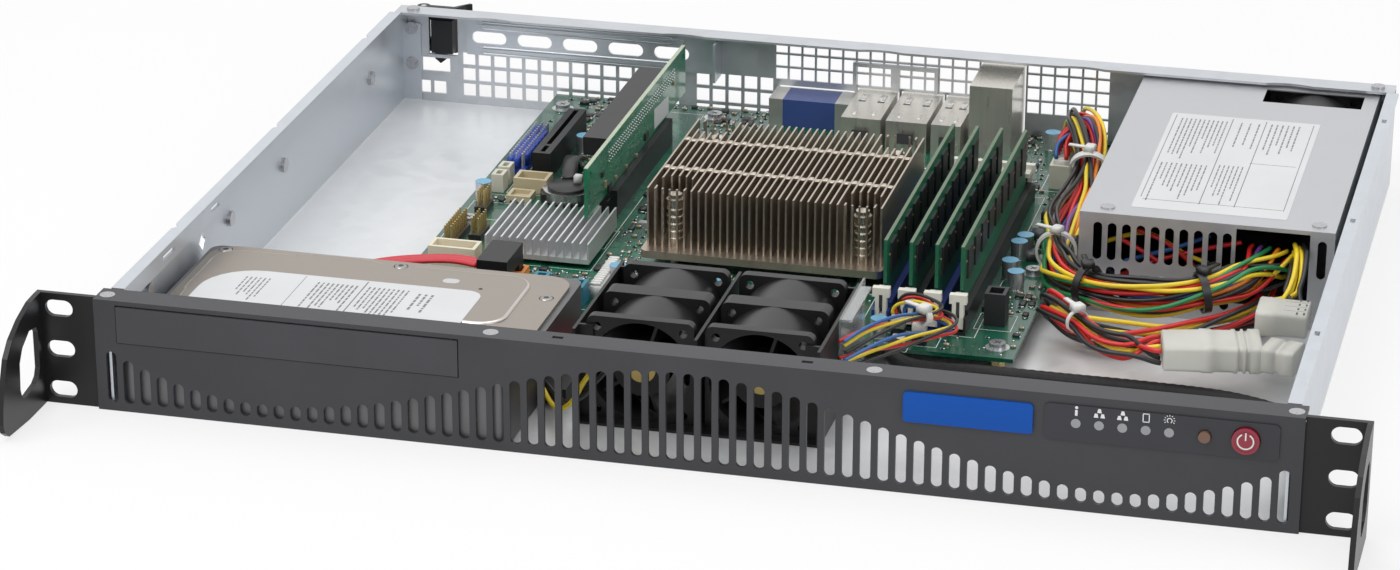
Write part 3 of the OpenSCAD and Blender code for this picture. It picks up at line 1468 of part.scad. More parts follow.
// Power supply: folded case with vents, wire opening, fan window, fan grille and inlet
module psu_case() color([0.70, 0.71, 0.73]) {
  difference() {
    block([psu_x, psu_y, psu_z], [psu_x + psu_w, psu_y + psu_d, psu_top]);
    block(
      [psu_x + psu_t, psu_y + psu_t, psu_z + psu_t],
      [psu_x + psu_w - psu_t, psu_y + psu_d - psu_t, psu_top - psu_t]
    );
    for (i = [0:psu_slot_count - 1])
      translate([psu_x + psu_slots_x + i * psu_slot_pitch, psu_y - overrun, psu_z])
        across(0, psu_t + 2 * overrun) {
          slot_outline(psu_slot_z[1][0], psu_slot_z[1][1], psu_slot_w);
          if (i < psu_low_count || i >= psu_slot_count - psu_low_count)
            slot_outline(psu_slot_z[0][0], psu_slot_z[0][1], psu_slot_w);
        }
    block(
      [psu_x + psu_w - wire_gap_right - wire_gap_w, psu_y - overrun, psu_z + wire_gap_z[0]],
      [psu_x + psu_w - wire_gap_right, psu_y + psu_t + overrun, psu_z + wire_gap_z[1]]
    );
    translate([psu_x + psu_w - wire_gap_right / 2, psu_y - overrun, psu_z])
      across(0, psu_t + 2 * overrun) slot_outline(psu_slot_z[1][0], psu_slot_z[1][1], psu_slot_w);
    block(
      [psu_fan_x - fan_window[0] / 2, psu_y + psu_d - fan_window_back - fan_window[1], psu_top - 2 * psu_t],
      [psu_fan_x + fan_window[0] / 2, psu_y + psu_d - fan_window_back, psu_top + overrun]
    );
    for (c = [-grille_rows:grille_rows], r = [-grille_rows:grille_rows])
      if (norm([c, r]) * grille_pitch < grille_d / 2)
        rod_y(
          psu_fan_x + c * grille_pitch, psu_y + psu_d - psu_t - overrun, psu_z + psu_h / 2 + r * grille_pitch,
          psu_t + 2 * overrun, grille_hole_d
        );
    translate([psu_x + inlet_x, psu_y + psu_d, psu_z + psu_h / 2])
      block(
        [-inlet_size[0] / 2, -psu_t - overrun, -inlet_size[1] / 2],
        [inlet_size[0] / 2, overrun, inlet_size[1] / 2]
      );
  }
  translate([psu_x + inlet_x, psu_y + psu_d, psu_z + psu_h / 2]) {
    difference() {
      block(
        [-inlet_size[0] / 2, -inlet_size[2], -inlet_size[1] / 2],
        [inlet_size[0] / 2, inlet_proud, inlet_size[1] / 2]
      );
      block(
        [-inlet_size[0] / 2 + inlet_wall, -inlet_size[2] + inlet_wall, -inlet_size[1] / 2 + inlet_wall],
        [inlet_size[0] / 2 - inlet_wall, inlet_proud + overrun, inlet_size[1] / 2 - inlet_wall]
      );
    }
    for (p = inlet_pins)
      translate([p[0] - inlet_pin[0] / 2, inlet_wall / 2 - inlet_size[2], p[1] - inlet_pin[2] / 2])
        cube(inlet_pin);
  }
}

// Vented cover over the card opening, inside the rear panel
module slot_cover() color([0.78, 0.80, 0.82]) {
  y = rear_in - seam - sheet_t;
  mid = (cover_z[0] + cover_z[1]) / 2;
  difference() {
    union() {
      block([cover_x[0], y, cover_z[0]], [cover_x[1], y + sheet_t, cover_z[1]]);
      for (z = [mid - cover_vent[1], mid + cover_vent[1]])
        translate([cover_vent_x + cover_vent_pitch * (cover_vents - 1) / 2, y - cover_rib_h, z])
          across(0, cover_rib_h + sheet_t / 2) wide_slot_outline(cover_rib[0], cover_rib[1]);
    }
    for (i = [0:cover_vents - 1])
      translate([cover_vent_x + i * cover_vent_pitch, y - overrun, mid])
        across(0, sheet_t + 2 * overrun) wide_slot_outline(cover_vent[0], cover_vent[1]);
  }
  block([cover_x[1] - sheet_t, y - cover_tab_l, cover_z[0]], [cover_x[1], y + sheet_t, cover_z[1] + sheet_t]);
}

// Clamp that holds a card's bracket, hinged on a pin behind the rear panel
module clamp_mount() {
  rod_z(
    clamp_x, clamp_y, knuckle_z[1] + knuckle_gap, knuckle_z[2] - knuckle_z[1] - 2 * knuckle_gap, knuckle_d
  );
  rod_z(clamp_x, clamp_y, knuckle_z[0], knuckle_z[3] - knuckle_z[0], clamp_pin_d);
  block(
    [clamp_x - sheet_t, case_d - sheet_t / 2, knuckle_z[1] + knuckle_gap],
    [clamp_x + sheet_t, clamp_y, knuckle_z[2] - knuckle_gap]
  );
}
module card_clamp() color([0.09, 0.09, 0.10])
  translate([clamp_x, clamp_y, 0]) {
    difference() {
      union() {
        for (z = [knuckle_z[0], knuckle_z[2]])
          translate([0, 0, z]) cylinder(h = knuckle_z[1] - knuckle_z[0], d = knuckle_d, $fn = 40);
        for (z = [knuckle_z[0], knuckle_z[2]])
          block([0, -clamp_arm_t / 2, z], [knuckle_d, clamp_arm_t / 2, z + knuckle_z[1] - knuckle_z[0]]);
      }
      translate([0, 0, knuckle_z[0] - overrun])
        cylinder(h = knuckle_z[3] - knuckle_z[0] + 2 * overrun, d = clamp_pin_d + 2 * pivot_play, $fn = 32);
    }
    flat(knuckle_z[0], knuckle_z[3] - knuckle_z[0])
      polygon([
        [knuckle_d * 0.6, -clamp_arm_t / 2], [claw_x[1], -clamp_arm_t / 2],
        [clamp_l - clamp_arm_t, clamp_reach - clamp_off - clamp_arm_t],
        [clamp_l, clamp_reach - clamp_off - clamp_arm_t / 3],
        [clamp_l - clamp_arm_t / 2, clamp_reach - clamp_off], [claw_x[1] - clamp_arm_t / 2, clamp_arm_t / 2],
        [knuckle_d * 0.6, clamp_arm_t / 2]
      ]);
    block([claw_x[0], -claw_deep, claw_z[0]], [claw_x[1], 0, claw_z[1]]);
    across(-clamp_arm_t / 2, clamp_arm_t)
      polygon([
        [claw_x[0], knuckle_z[0] + overrun], [claw_x[0], tab_z[1]], [claw_x[0] + tab_w / 2, tab_z[0]],
        [claw_x[0] + tab_w, tab_z[1]], [claw_x[0] + tab_w, knuckle_z[0] + overrun]
      ]);
  }

// Connectors on the wires, white nylon
module plug_block(at, size, turn, keys) {
  translate(at)
    rotate([0, 0, turn])
      translate([-size[0] / 2, -size[1] / 2, 0])
        difference() {
          union() {
            cube(size);
            translate([size[0] * 0.45, -size[1] * 0.03, -size[2] * 0.03])
              cube([size[0] * 0.1, size[1] * 1.06, size[2] * 1.06]);
          }
          for (i = [0:keys - 1])
            translate([size[0] * 0.82, size[1] * (i + 0.22) / keys, size[2] * 0.55])
              cube([size[0] * 0.2, size[1] * 0.56 / keys, size[2] * 0.3]);
        }
}
module nylon_connectors() color([0.93, 0.93, 0.89]) {
  fit = 2 * (socket_key + seam);
  on_board(power_socket_share)
    slab([power_socket[0] - fit, power_socket[1] - fit, power_plug_h - socket_key], fit / 2);
  for (p = fan_socket_share)
    on_board(p)
      slab(
        [fan_socket[0] + 2 * seam, fan_socket[1] + 2 * seam, fan_plug_h - fan_socket[2]],
        fan_socket[2] + seam
      );
  on_board(lead_header_share)
    translate([-fan_socket[0] / 2, -fan_socket[1], 0])
      cube([fan_socket[0], 1.7 * fan_socket[1], fan_socket[2]]);
  plug_block(drive_joint_at, drive_joint, drive_joint_turn, 4);
  plug_block(small_joint_at, small_joint, -drive_joint_turn, 2);
  plug_block(cpu_joint_at, cpu_joint, 0, 4);
}

// Cords and the ties round them
module wire_harness() color([0.85, 0.70, 0.10]) {
  tube(harness_route, [harness_r, harness_r], 10);
  tube(drive_lead_route, [drive_lead_r, drive_lead_r]);
  tube(cpu_lead_route, [cpu_lead_r, cpu_lead_r]);
}
module fan_leads() color([0.85, 0.15, 0.15]) {
  tube(fan_lead_route, [fan_lead_r, fan_lead_r]);
  tube(second_lead_route, [second_lead_r, second_lead_r]);
}
module sata_cable() color([0.86, 0.12, 0.18]) tube(sata_route, sata_size / 2);
module control_lead() color([0.06, 0.06, 0.07]) tube(control_lead_route, [control_lead_r, control_lead_r]);
module cable_ties() color([0.93, 0.93, 0.92]) {
  for (s = tie_shares)
    let (i = round(s * (len(harness_route) - 1)))
      band(harness_route[i], heading(harness_route, i), harness_r + seam, tie_w, tie_t);
  band(fan_lead_route[3], heading(fan_lead_route, 3), fan_lead_r + seam, tie_w, tie_t);
  band(drive_lead_route[10], heading(drive_lead_route, 10), drive_lead_r + seam, tie_w / 2, tie_t / 2);
}

in_frame() chassis_tray();
in_frame() rear_panel();
in_frame() front_panel();
in_frame() drive_bay_blank();
in_frame() left_rack_ear();
in_frame() right_rack_ear();
in_frame() badge_plate();
in_frame() control_overlay();
in_frame() status_lights();
in_frame() control_board();
in_frame() case_screws();
in_frame() board_standoffs();
in_frame() main_board();
in_frame() board_screws();
in_frame() cpu_socket();
in_frame() cpu_heatsink();
in_frame() heatsink_spring_screws();
in_frame() chipset_heatsink();
in_frame() memory_slots();
in_frame() memory_modules();
in_frame() card_slots();
in_frame() riser_card();
in_frame() coin_cell();
in_frame() video_port();
in_frame() port_shells();
in_frame() board_sockets();
in_frame() sata_ports();
in_frame() pin_headers();
in_frame() capacitors();
in_frame() board_chips();
in_frame() fan_tray();
in_frame() fan_housings();
in_frame() air_shroud();
in_frame() drive_body();
in_frame() drive_cover();
in_frame() sata_plug();
in_frame() sata_cable();
in_frame() psu_case();
in_frame() slot_cover();
in_frame() wire_harness();
in_frame() fan_leads();
in_frame() control_lead();
in_frame() nylon_connectors();
in_frame() cable_ties();
in_frame() power_button();
in_frame() reset_button();
in_frame() fan_rotor(fan_x[0], false);  // fan_rotor_1
in_frame() fan_rotor(fan_x[0], true);  // fan_rotor_2
in_frame() fan_rotor(fan_x[1], false);  // fan_rotor_3
in_frame() fan_rotor(fan_x[1], true);  // fan_rotor_4
in_frame() psu_fan_rotor();
in_frame() card_clamp();
in_frame() latch(0, -1);  // latch_front_1
in_frame() latch(1, -1);  // latch_front_2
in_frame() latch(2, -1);  // latch_front_3
in_frame() latch(3, -1);  // latch_front_4
in_frame() latch(0, 1);  // latch_rear_1
in_frame() latch(1, 1);  // latch_rear_2
in_frame() latch(2, 1);  // latch_rear_3
in_frame() latch(3, 1);  // latch_rear_4
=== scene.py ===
import math

import bpy
import numpy as np
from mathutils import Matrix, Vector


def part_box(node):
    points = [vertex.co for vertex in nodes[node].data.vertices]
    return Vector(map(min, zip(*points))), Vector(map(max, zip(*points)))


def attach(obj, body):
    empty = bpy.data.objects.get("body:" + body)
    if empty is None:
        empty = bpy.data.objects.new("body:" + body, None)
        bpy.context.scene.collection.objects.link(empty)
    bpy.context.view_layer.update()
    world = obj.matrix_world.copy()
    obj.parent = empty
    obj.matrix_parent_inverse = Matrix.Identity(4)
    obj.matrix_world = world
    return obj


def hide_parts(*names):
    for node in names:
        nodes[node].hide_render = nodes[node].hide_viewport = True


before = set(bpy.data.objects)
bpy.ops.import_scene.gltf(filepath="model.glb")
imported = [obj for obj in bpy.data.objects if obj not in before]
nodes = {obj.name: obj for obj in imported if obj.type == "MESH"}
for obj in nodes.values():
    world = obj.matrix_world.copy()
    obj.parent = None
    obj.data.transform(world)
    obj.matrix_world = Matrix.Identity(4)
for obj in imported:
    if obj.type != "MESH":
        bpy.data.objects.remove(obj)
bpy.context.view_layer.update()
print("frame loaded,", len(nodes), "parts")

# bench measures are millimetres with y counted from the front face; the frame's middle is 162 mm behind it
bench = {"backset": 162.0, "unit": 0.001}


def place(points):
    # bench millimetres to frame metres
    return (np.asarray(points, float) - np.array([0.0, bench["backset"], 0.0])) * bench["unit"]


def benchBox(node):
    # a CAD node's lowest and highest corners in bench millimetres
    low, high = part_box(node)
    back = np.array([0.0, bench["backset"], 0.0])
    return np.array(low) / bench["unit"] + back, np.array(high) / bench["unit"] + back


# shader nodes, and the groups that several finishes share
def setInput(tree, socket, value):
    # links another node's output to the input, or sets a plain value
    if isinstance(value, bpy.types.NodeSocket):
        tree.links.new(value, socket)
    else:
        socket.default_value = value


def addNode(tree, kind, inputs, **settings):
    node = tree.nodes.new("ShaderNode" + kind)
    for key, value in settings.items():
        setattr(node, key, value)
    for key, value in inputs.items():
        setInput(tree, node.inputs[key], value)
    return node


def mathNode(tree, operation, *values):
    return addNode(tree, "Math", dict(enumerate(values)), operation=operation).outputs[0]


def mixColour(tree, factor, a, b, blend="MIX"):
    return addNode(tree, "Mix", {"Factor": factor, 6: a, 7: b}, data_type="RGBA", blend_type=blend).outputs[2]


def noiseNode(tree, vector, scale, detail):
    return addNode(tree, "TexNoise", {"Vector": vector, "Scale": scale, "Detail": detail}).outputs["Fac"]


def weighted(tree, a, share, b):
    # share * a + (1 - share) * b
    return mathNode(tree, "ADD", mathNode(tree, "MULTIPLY", a, share),
                    mathNode(tree, "MULTIPLY", b, round(1 - share, 6)))


def newGroup(name, inputs, outputs):
    # inputs are names with their usual values: one number, a vector of three or a colour of four
    group = bpy.data.node_groups.new(name, "ShaderNodeTree")
    kinds = {1: "NodeSocketFloat", 3: "NodeSocketVector", 4: "NodeSocketColor"}
    for label, value in inputs.items():
        socket = group.interface.new_socket(label, in_out="INPUT", socket_type=kinds[np.size(value)])
        socket.default_value = value
    for label in outputs:
        group.interface.new_socket(label, in_out="OUTPUT", socket_type=kinds[4 if label == "Color" else 1])
    return group, group.nodes.new("NodeGroupInput").outputs, group.nodes.new("NodeGroupOutput").inputs


def giveSurface(group, given, out, share, rough, height):
    # the three results of a surface group: a colour between dark and light, a roughness and a height
    setInput(group, out["Color"], mixColour(group, share, given["Dark"], given["Light"]))
    setInput(group, out["Roughness"], rough)
    setInput(group, out["Height"], height)
    return group


def roughBetween(group, given, share):
    # low + share * (high - low)
    spread = mathNode(group, "SUBTRACT", given["Rough High"], given["Rough Low"])
    return mathNode(group, "MULTIPLY_ADD", share, spread, given["Rough Low"])


surfaceInputs = {"Vector": (0, 0, 0), "Light": (1, 1, 1, 1), "Dark": (0, 0, 0, 1)}
surfaceOutputs = ("Color", "Roughness", "Height")


def makeMottle():
    # two sizes of noise on object coordinates: a slow drift between two colours, a fine grain for the surface
    group, given, out = newGroup("mottle", {**surfaceInputs, "Size": 40.0, "Fine": 900.0, "Rough Low": 0.3,
                                            "Rough High": 0.5}, surfaceOutputs)
    slow = noiseNode(group, given["Vector"], given["Size"], 3.0)
    fine = noiseNode(group, given["Vector"], given["Fine"], 2.0)
    ramp = addNode(group, "MapRange", {"Value": slow, "From Min": 0.32, "From Max": 0.68}).outputs["Result"]
    return giveSurface(group, given, out, ramp, roughBetween(group, given, weighted(group, slow, 0.6, fine)),
                       fine)


def makeSpangle():
    # zinc crystals: cells of slightly different grey, softened by noise
    group, given, out = newGroup("spangle", {**surfaceInputs, "Size": 160.0}, surfaceOutputs)
    cells = addNode(group, "TexVoronoi", {"Vector": given["Vector"], "Scale": given["Size"]}).outputs["Color"]
    grey = addNode(group, "SeparateColor", {"Color": cells}).outputs["Red"]
    mixed = weighted(group, grey, 0.55, noiseNode(group, given["Vector"], 24.0, 4.0))
    return giveSurface(group, given, out, mixed, mathNode(group, "MULTIPLY_ADD", mixed, 0.16, 0.26), mixed)


def makeBrushed():
    # fine lines along one axis, from noise that is stretched by the Stretch vector
    group, given, out = newGroup("brushed", {**surfaceInputs, "Stretch": (40, 2000, 2000), "Rough Low": 0.2,
                                             "Rough High": 0.4}, surfaceOutputs)
    scaled = addNode(group, "VectorMath", {0: given["Vector"], 1: given["Stretch"]}, operation="MULTIPLY")
    lines = noiseNode(group, scaled.outputs["Vector"], 1.0, 3.0)
    return giveSurface(group, given, out, lines, roughBetween(group, given, lines), lines)


def makeBoxZone():
    # 1 inside the box whose middle and half size are given, 0 outside
    group, given, out = newGroup("boxZone", {"Vector": (0, 0, 0), "Middle": (0, 0, 0), "Half": (1, 1, 1)},
                                 ("Mask",))
    off = given["Vector"]
    for operation, other in (("SUBTRACT", given["Middle"]), ("ABSOLUTE", None), ("SUBTRACT", given["Half"])):
        inputs = {0: off} if other is None else {0: off, 1: other}
        off = addNode(group, "VectorMath", inputs, operation=operation).outputs["Vector"]
    x, y, z = addNode(group, "SeparateXYZ", {0: off}).outputs
    most = mathNode(group, "MAXIMUM", mathNode(group, "MAXIMUM", x, y), z)
    setInput(group, out["Mask"], mathNode(group, "LESS_THAN", most, 0.0))
    return group


groups = {"mottle": makeMottle(), "spangle": makeSpangle(), "brushed": makeBrushed(),
          "boxZone": makeBoxZone()}


def shade(colour, factor=1.0):
    return tuple(min(1.0, c * factor) for c in colour[:3]) + (1.0,)


def makeFinish(name, colour, pattern="mottle", spread=0.12, metal=0.0, rough=(0.35, 0.5), bump=0.1,
               size=40.0, fine=900.0, stretch=(40, 2000, 2000), coat=0.0, tinted=False, clear=0.0,
               grain=0.00005, zones=(), shine=0.5):
    # spread lightens and darkens the colour; zones are boxes in bench millimetres, from zoneBox
    material = bpy.data.materials.new(name)
    material.use_nodes = True
    tree = material.node_tree
    shader = tree.nodes["Principled BSDF"]
    where = addNode(tree, "TexCoord", {}).outputs["Object"]
    effect = addNode(tree, "Group", {}, node_tree=groups[pattern], label=pattern)
    ground = (1.0, 1.0, 1.0) if tinted or zones else colour
    for key, value in {"Vector": where, "Light": shade(ground, 1 + spread), "Dark": shade(ground, 1 - spread),
                       "Size": size, "Fine": fine, "Stretch": stretch, "Rough Low": rough[0],
                       "Rough High": rough[1]}.items():
        if key in effect.inputs:
            setInput(tree, effect.inputs[key], value)
    base = effect.outputs["Color"]
    if tinted:  # the piece carries its own colours in the attribute "tint"
        own = addNode(tree, "Attribute", {}, attribute_name="tint").outputs["Color"]
        base = mixColour(tree, 1.0, own, base, "MULTIPLY")
    if zones:  # parts of one solid that have another colour, picked out by boxes
        plain = shade(colour)
        for low, high, zoneColour, zoneMetal in zones:
            low, high = place(low), place(high)
            mask = addNode(tree, "Group",
                           {"Vector": where, "Middle": (low + high) / 2, "Half": (high - low) / 2},
                           node_tree=groups["boxZone"]).outputs["Mask"]
            plain = mixColour(tree, mask, plain, shade(zoneColour))
            metal = mathNode(tree, "MULTIPLY_ADD", mask, mathNode(tree, "SUBTRACT", zoneMetal, metal), metal)
        base = mixColour(tree, 1.0, plain, base, "MULTIPLY")
    relief = addNode(tree, "Bump", {"Strength": bump, "Distance": grain, "Height": effect.outputs["Height"]})
    for key, value in {"Base Color": base, "Roughness": effect.outputs["Roughness"], "Metallic": metal,
                       "Normal": relief.outputs["Normal"], "Specular IOR Level": shine, "Coat Weight": coat,
                       "Transmission Weight": clear}.items():
        setInput(tree, shader.inputs[key], value)
    return material


far = 1000.0  # past everything, in bench millimetres


def zoneBox(colour, metal=0.0, x=(-far, far), y=(-far, far), z=(-far, far)):
    # a part of one solid in another colour: all of it between these bench millimetres
    return (x[0], y[0], z[0]), (x[1], y[1], z[1]), colour, metal


slotMiddles = (45.64, 55.44, 65.24, 75.04)
ivory, paleEdge, gold = (0.66, 0.64, 0.54), (0.11, 0.17, 0.10), (0.72, 0.56, 0.26)
teal, orange, tan = (0.02, 0.20, 0.30), (0.80, 0.26, 0.03), (0.58, 0.50, 0.33)
supplyLow, supplyHigh = benchBox("psu_case")
portLow, portHigh = benchBox("video_port")
bracket = 6.0  # width of the steel at each end of the video port
alongZ, alongY, closeAlongZ = (900, 900, 200), (900, 60, 900), (900, 900, 60)  # ways that brushed lines run
satin, glossyBoard = {"shine": 0.38}, {"size": 70, "coat": 0.4}
painted = {"shine": 0.38, "grain": 0.00008}

# zones of a node that another colour covers
zones = {
    # the tray's floor, below 1.4 mm, is painted paler and less metallic than its walls: painted light where
    # the floor faces up to the lamps
    "galvanised": [zoneBox((0.80, 0.815, 0.83), 0.25, z=(-far, 1.4))],
    "slotRow": [zoneBox((0.014, 0.045, 0.26), x=(x - 4, x + 4)) for x in slotMiddles[::2]],
    "memoryCards": [zoneBox((0.010, 0.125, 0.062), x=(x - 0.75, x + 0.75)) for x in slotMiddles]
    + [zoneBox(paleEdge, z=(40.75, far))],
    "dataPorts": [zoneBox(orange, x=(-116, -94), y=(132, 143)), zoneBox(teal, x=(-92, -66), y=(115, 132))],
    "boardPlastic": [zoneBox(tan, x=(-129.5, -113.5), y=(229, 242)),
                     zoneBox(ivory, x=(-139, -130), y=(227, 247)),
                     zoneBox(tan, x=(-128.5, -117), y=(217, 229)), zoneBox(ivory, x=(80, 93), y=(286, 343))],
    "headerPins": [zoneBox((0.02, 0.06, 0.38), x=(-140, -126), y=(246, 294)),
                   zoneBox(gold, 0.95, z=(11.55, far)),
                   zoneBox((0.72, 0.72, 0.74), 0.95, x=(-140, -126), y=(246, 294), z=(11.55, far))],
    "capacitorCans": [zoneBox((0.16, 0.42, 0.62), 0.1, z=(16.85, far))],
    "tieStrap": [zoneBox((0.014, 0.014, 0.015), x=(106, 130), y=(150, 174), z=(5, 33)),
                 zoneBox((0.014, 0.014, 0.015), x=(150, 174), y=(149, 174), z=(5, 33))],
    # everything inside the supply's shell, 0.4 mm in from its box, is near black: painted shade inside the
    # case
    "supplyCase": [(supplyLow + 0.4, supplyHigh - 0.4, (0.030, 0.031, 0.033), 0.1)],
    "riserBoard": [zoneBox((0.42, 0.50, 0.34), z=(40.7, far))],
    "videoPort": [zoneBox((0.70, 0.69, 0.66), 0.9, y=(350.5, far)),
                  zoneBox((0.60, 0.59, 0.56), 0.9, x=(-far, portLow[0] + bracket)),
                  zoneBox((0.60, 0.59, 0.56), 0.9, x=(portHigh[0] - bracket, far))],
}
# paints and plastics: colour, spread, roughness from and to, bump, fineness of the grain, and the rest
paints = {
    "frontPaint": ((0.042, 0.043, 0.048), 0.08, (0.38, 0.52), 0.35, 2600, painted),
    "blankPaint": ((0.050, 0.051, 0.057), 0.08, (0.40, 0.54), 0.35, 2600, painted),
    "earPaint": ((0.010, 0.010, 0.011), 0.1, (0.28, 0.40), 0.35, 2600, {"grain": 0.00008, "shine": 0.35}),
    "overlayFilm": ((0.032, 0.033, 0.039), 0.06, (0.30, 0.38), 0.15, 3200, satin),
    "lightLens": ((0.28, 0.29, 0.30), 0.1, (0.2, 0.3), 0.05, 3000, {}),
    "boardGreen": ((0.004, 0.080, 0.045), 0.25, (0.22, 0.34), 0.1, 1500, glossyBoard),
    "slotBlack": ((0.009, 0.009, 0.010), 0.15, (0.32, 0.46), 0.12, 2200, satin),
    "chipBlack": ((0.012, 0.012, 0.013), 0.14, (0.45, 0.6), 0.25, 3400, {"shine": 0.4}),
    "fanBlack": ((0.012, 0.012, 0.013), 0.14, (0.30, 0.44), 0.12, 1800, satin),
    "trayBlack": ((0.009, 0.009, 0.010), 0.14, (0.34, 0.46), 0.2, 2400, satin),
    "rotorBlack": ((0.007, 0.007, 0.008), 0.12, (0.26, 0.38), 0.08, 1800, {"shine": 0.4}),
    # the drive's body is coloured darker than bare alloy: painted shade for the shadow it sits in
    "castAlloyInShade": ((0.16, 0.16, 0.165), 0.10, (0.38, 0.52), 0.4, 1400, {"grain": 0.0001, "metal": 0.6}),
    "cableRed": ((0.56, 0.020, 0.035), 0.08, (0.34, 0.46), 0.1, 1800, {}),
    "plugBlack": ((0.009, 0.009, 0.010), 0.12, (0.36, 0.48), 0.12, 2200, {"shine": 0.4}),
    "insulation": ((1, 1, 1), 0.05, (0.28, 0.40), 0.1, 1600, {"tinted": True}),
    "braidBlack": ((0.009, 0.009, 0.010), 0.25, (0.5, 0.7), 0.8, 2600, {"grain": 0.0003, "shine": 0.35}),
    "nylonWhite": ((0.70, 0.69, 0.63), 0.05, (0.26, 0.38), 0.08, 1500, {"clear": 0.2}),
    "buttonRed": ((0.27, 0.009, 0.030), 0.1, (0.28, 0.38), 0.06, 2200, {"coat": 0.3}),
    "buttonBrown": ((0.17, 0.09, 0.06), 0.1, (0.3, 0.42), 0.06, 2200, {}),
    "latchIvory": ((0.80, 0.79, 0.70), 0.06, (0.34, 0.46), 0.1, 2200, {}),
    "labelPaper": ((0.66, 0.67, 0.68), 0.03, (0.42, 0.55), 0.1, 1800, {}),
    "printInk": ((0.20, 0.20, 0.21), 0.1, (0.45, 0.6), 0.05, 1800, {}),
    "whiteInk": ((0.72, 0.74, 0.74), 0.05, (0.42, 0.55), 0.05, 1800, {}),
    "mixedParts": ((1, 1, 1), 0.06, (0.32, 0.48), 0.1, 2600, {"tinted": True}),
    "mixedMetal": ((1, 1, 1), 0.06, (0.22, 0.36), 0.06, 2600, {"metal": 0.9, "tinted": True}),
    "trackGreen": ((0.022, 0.215, 0.115), 0.12, (0.2, 0.3), 0.05, 1500, {"coat": 0.4}),
    "clearSheet": ((0.86, 0.89, 0.90), 0.03, (0.08, 0.16), 0.03, 800, {"clear": 0.85}),
    "slotRow": ((0.014, 0.014, 0.016), 0.15, (0.32, 0.46), 0.12, 2200, {}),
    "memoryCards": ((0.022, 0.022, 0.024), 0.12, (0.34, 0.5), 0.15, 2400, {"size": 70}),
    "dataPorts": ((0.78, 0.72, 0.56), 0.08, (0.36, 0.48), 0.1, 2200, {}),
    "boardPlastic": ((0.015, 0.015, 0.017), 0.12, (0.34, 0.48), 0.12, 2200, {}),
    "headerPins": ((0.016, 0.016, 0.018), 0.12, (0.3, 0.42), 0.08, 2200, {}),
    "tieStrap": ((0.74, 0.74, 0.71), 0.05, (0.3, 0.42), 0.08, 1500, {}),
    "riserBoard": ((0.012, 0.200, 0.095), 0.18, (0.22, 0.34), 0.1, 1500, glossyBoard),
    "videoPort": ((0.040, 0.075, 0.250), 0.12, (0.3, 0.42), 0.12, 2200, {}),
}
# brushed metals: colour, spread, metal, roughness from and to, bump, stretch of the lines, and the rest
brushed = {
    "badgeBlue": ((0.002, 0.075, 0.38), 0.10, 0.0, (0.2, 0.3), 0.02, (40, 2000, 2000),
                  {"coat": 0.1, "shine": 0.15}),
    "zincScrew": ((0.46, 0.46, 0.48), 0.14, 0.9, (0.2, 0.36), 0.1, alongZ, {}),
    "brass": ((0.70, 0.56, 0.27), 0.10, 0.9, (0.2, 0.34), 0.1, alongZ, {}),
    "socketSteel": ((0.50, 0.50, 0.50), 0.12, 0.85, (0.25, 0.4), 0.1, (60, 900, 900), {}),
    "coolerNickel": ((0.49, 0.42, 0.345), 0.14, 0.9, (0.24, 0.42), 0.12, alongY, {}),
    "springSteel": ((0.66, 0.63, 0.56), 0.10, 0.95, (0.16, 0.3), 0.1, alongZ, {}),
    "chipSinkAlloy": ((0.66, 0.67, 0.68), 0.08, 0.75, (0.34, 0.5), 0.12, alongY, {}),
    "coinSteel": ((0.50, 0.50, 0.50), 0.08, 0.9, (0.18, 0.3), 0.08, alongZ, {}),
    "portSteel": ((0.66, 0.635, 0.57), 0.10, 0.85, (0.22, 0.38), 0.08, closeAlongZ, {}),
    "driveLid": ((0.35, 0.31, 0.27), 0.06, 0.85, (0.26, 0.38), 0.06, (50, 900, 900), {}),
    "goldPlate": ((0.80, 0.60, 0.25), 0.08, 0.95, (0.18, 0.3), 0.05, alongZ, {}),
    "capacitorCans": ((0.62, 0.63, 0.66), 0.08, 0.85, (0.22, 0.36), 0.08, closeAlongZ, {}),
}
# zinc coats: colour, spread, metal, bump, fineness of the crystals, and the rest
zincs = {
    "rearSteel": ((0.56, 0.58, 0.61), 0.07, 0.7, 0.06, 170, {}),
    "galvanised": ((0.60, 0.635, 0.68), 0.07, 0.7, 0.06, 170, {}),
    "supplyCase": ((0.52, 0.53, 0.55), 0.05, 0.65, 0.05, 240, {}),
}
finishes = {}
for pattern, keys, table in (("mottle", ("spread", "rough", "bump", "fine"), paints),
                             ("brushed", ("spread", "metal", "rough", "bump", "stretch"), brushed),
                             ("spangle", ("spread", "metal", "bump", "size"), zincs)):
    for name, (colour, *values, more) in table.items():
        finishes[name] = makeFinish(name, colour, pattern, zones=zones.get(name, ()),
                                    **dict(zip(keys, values)), **more)

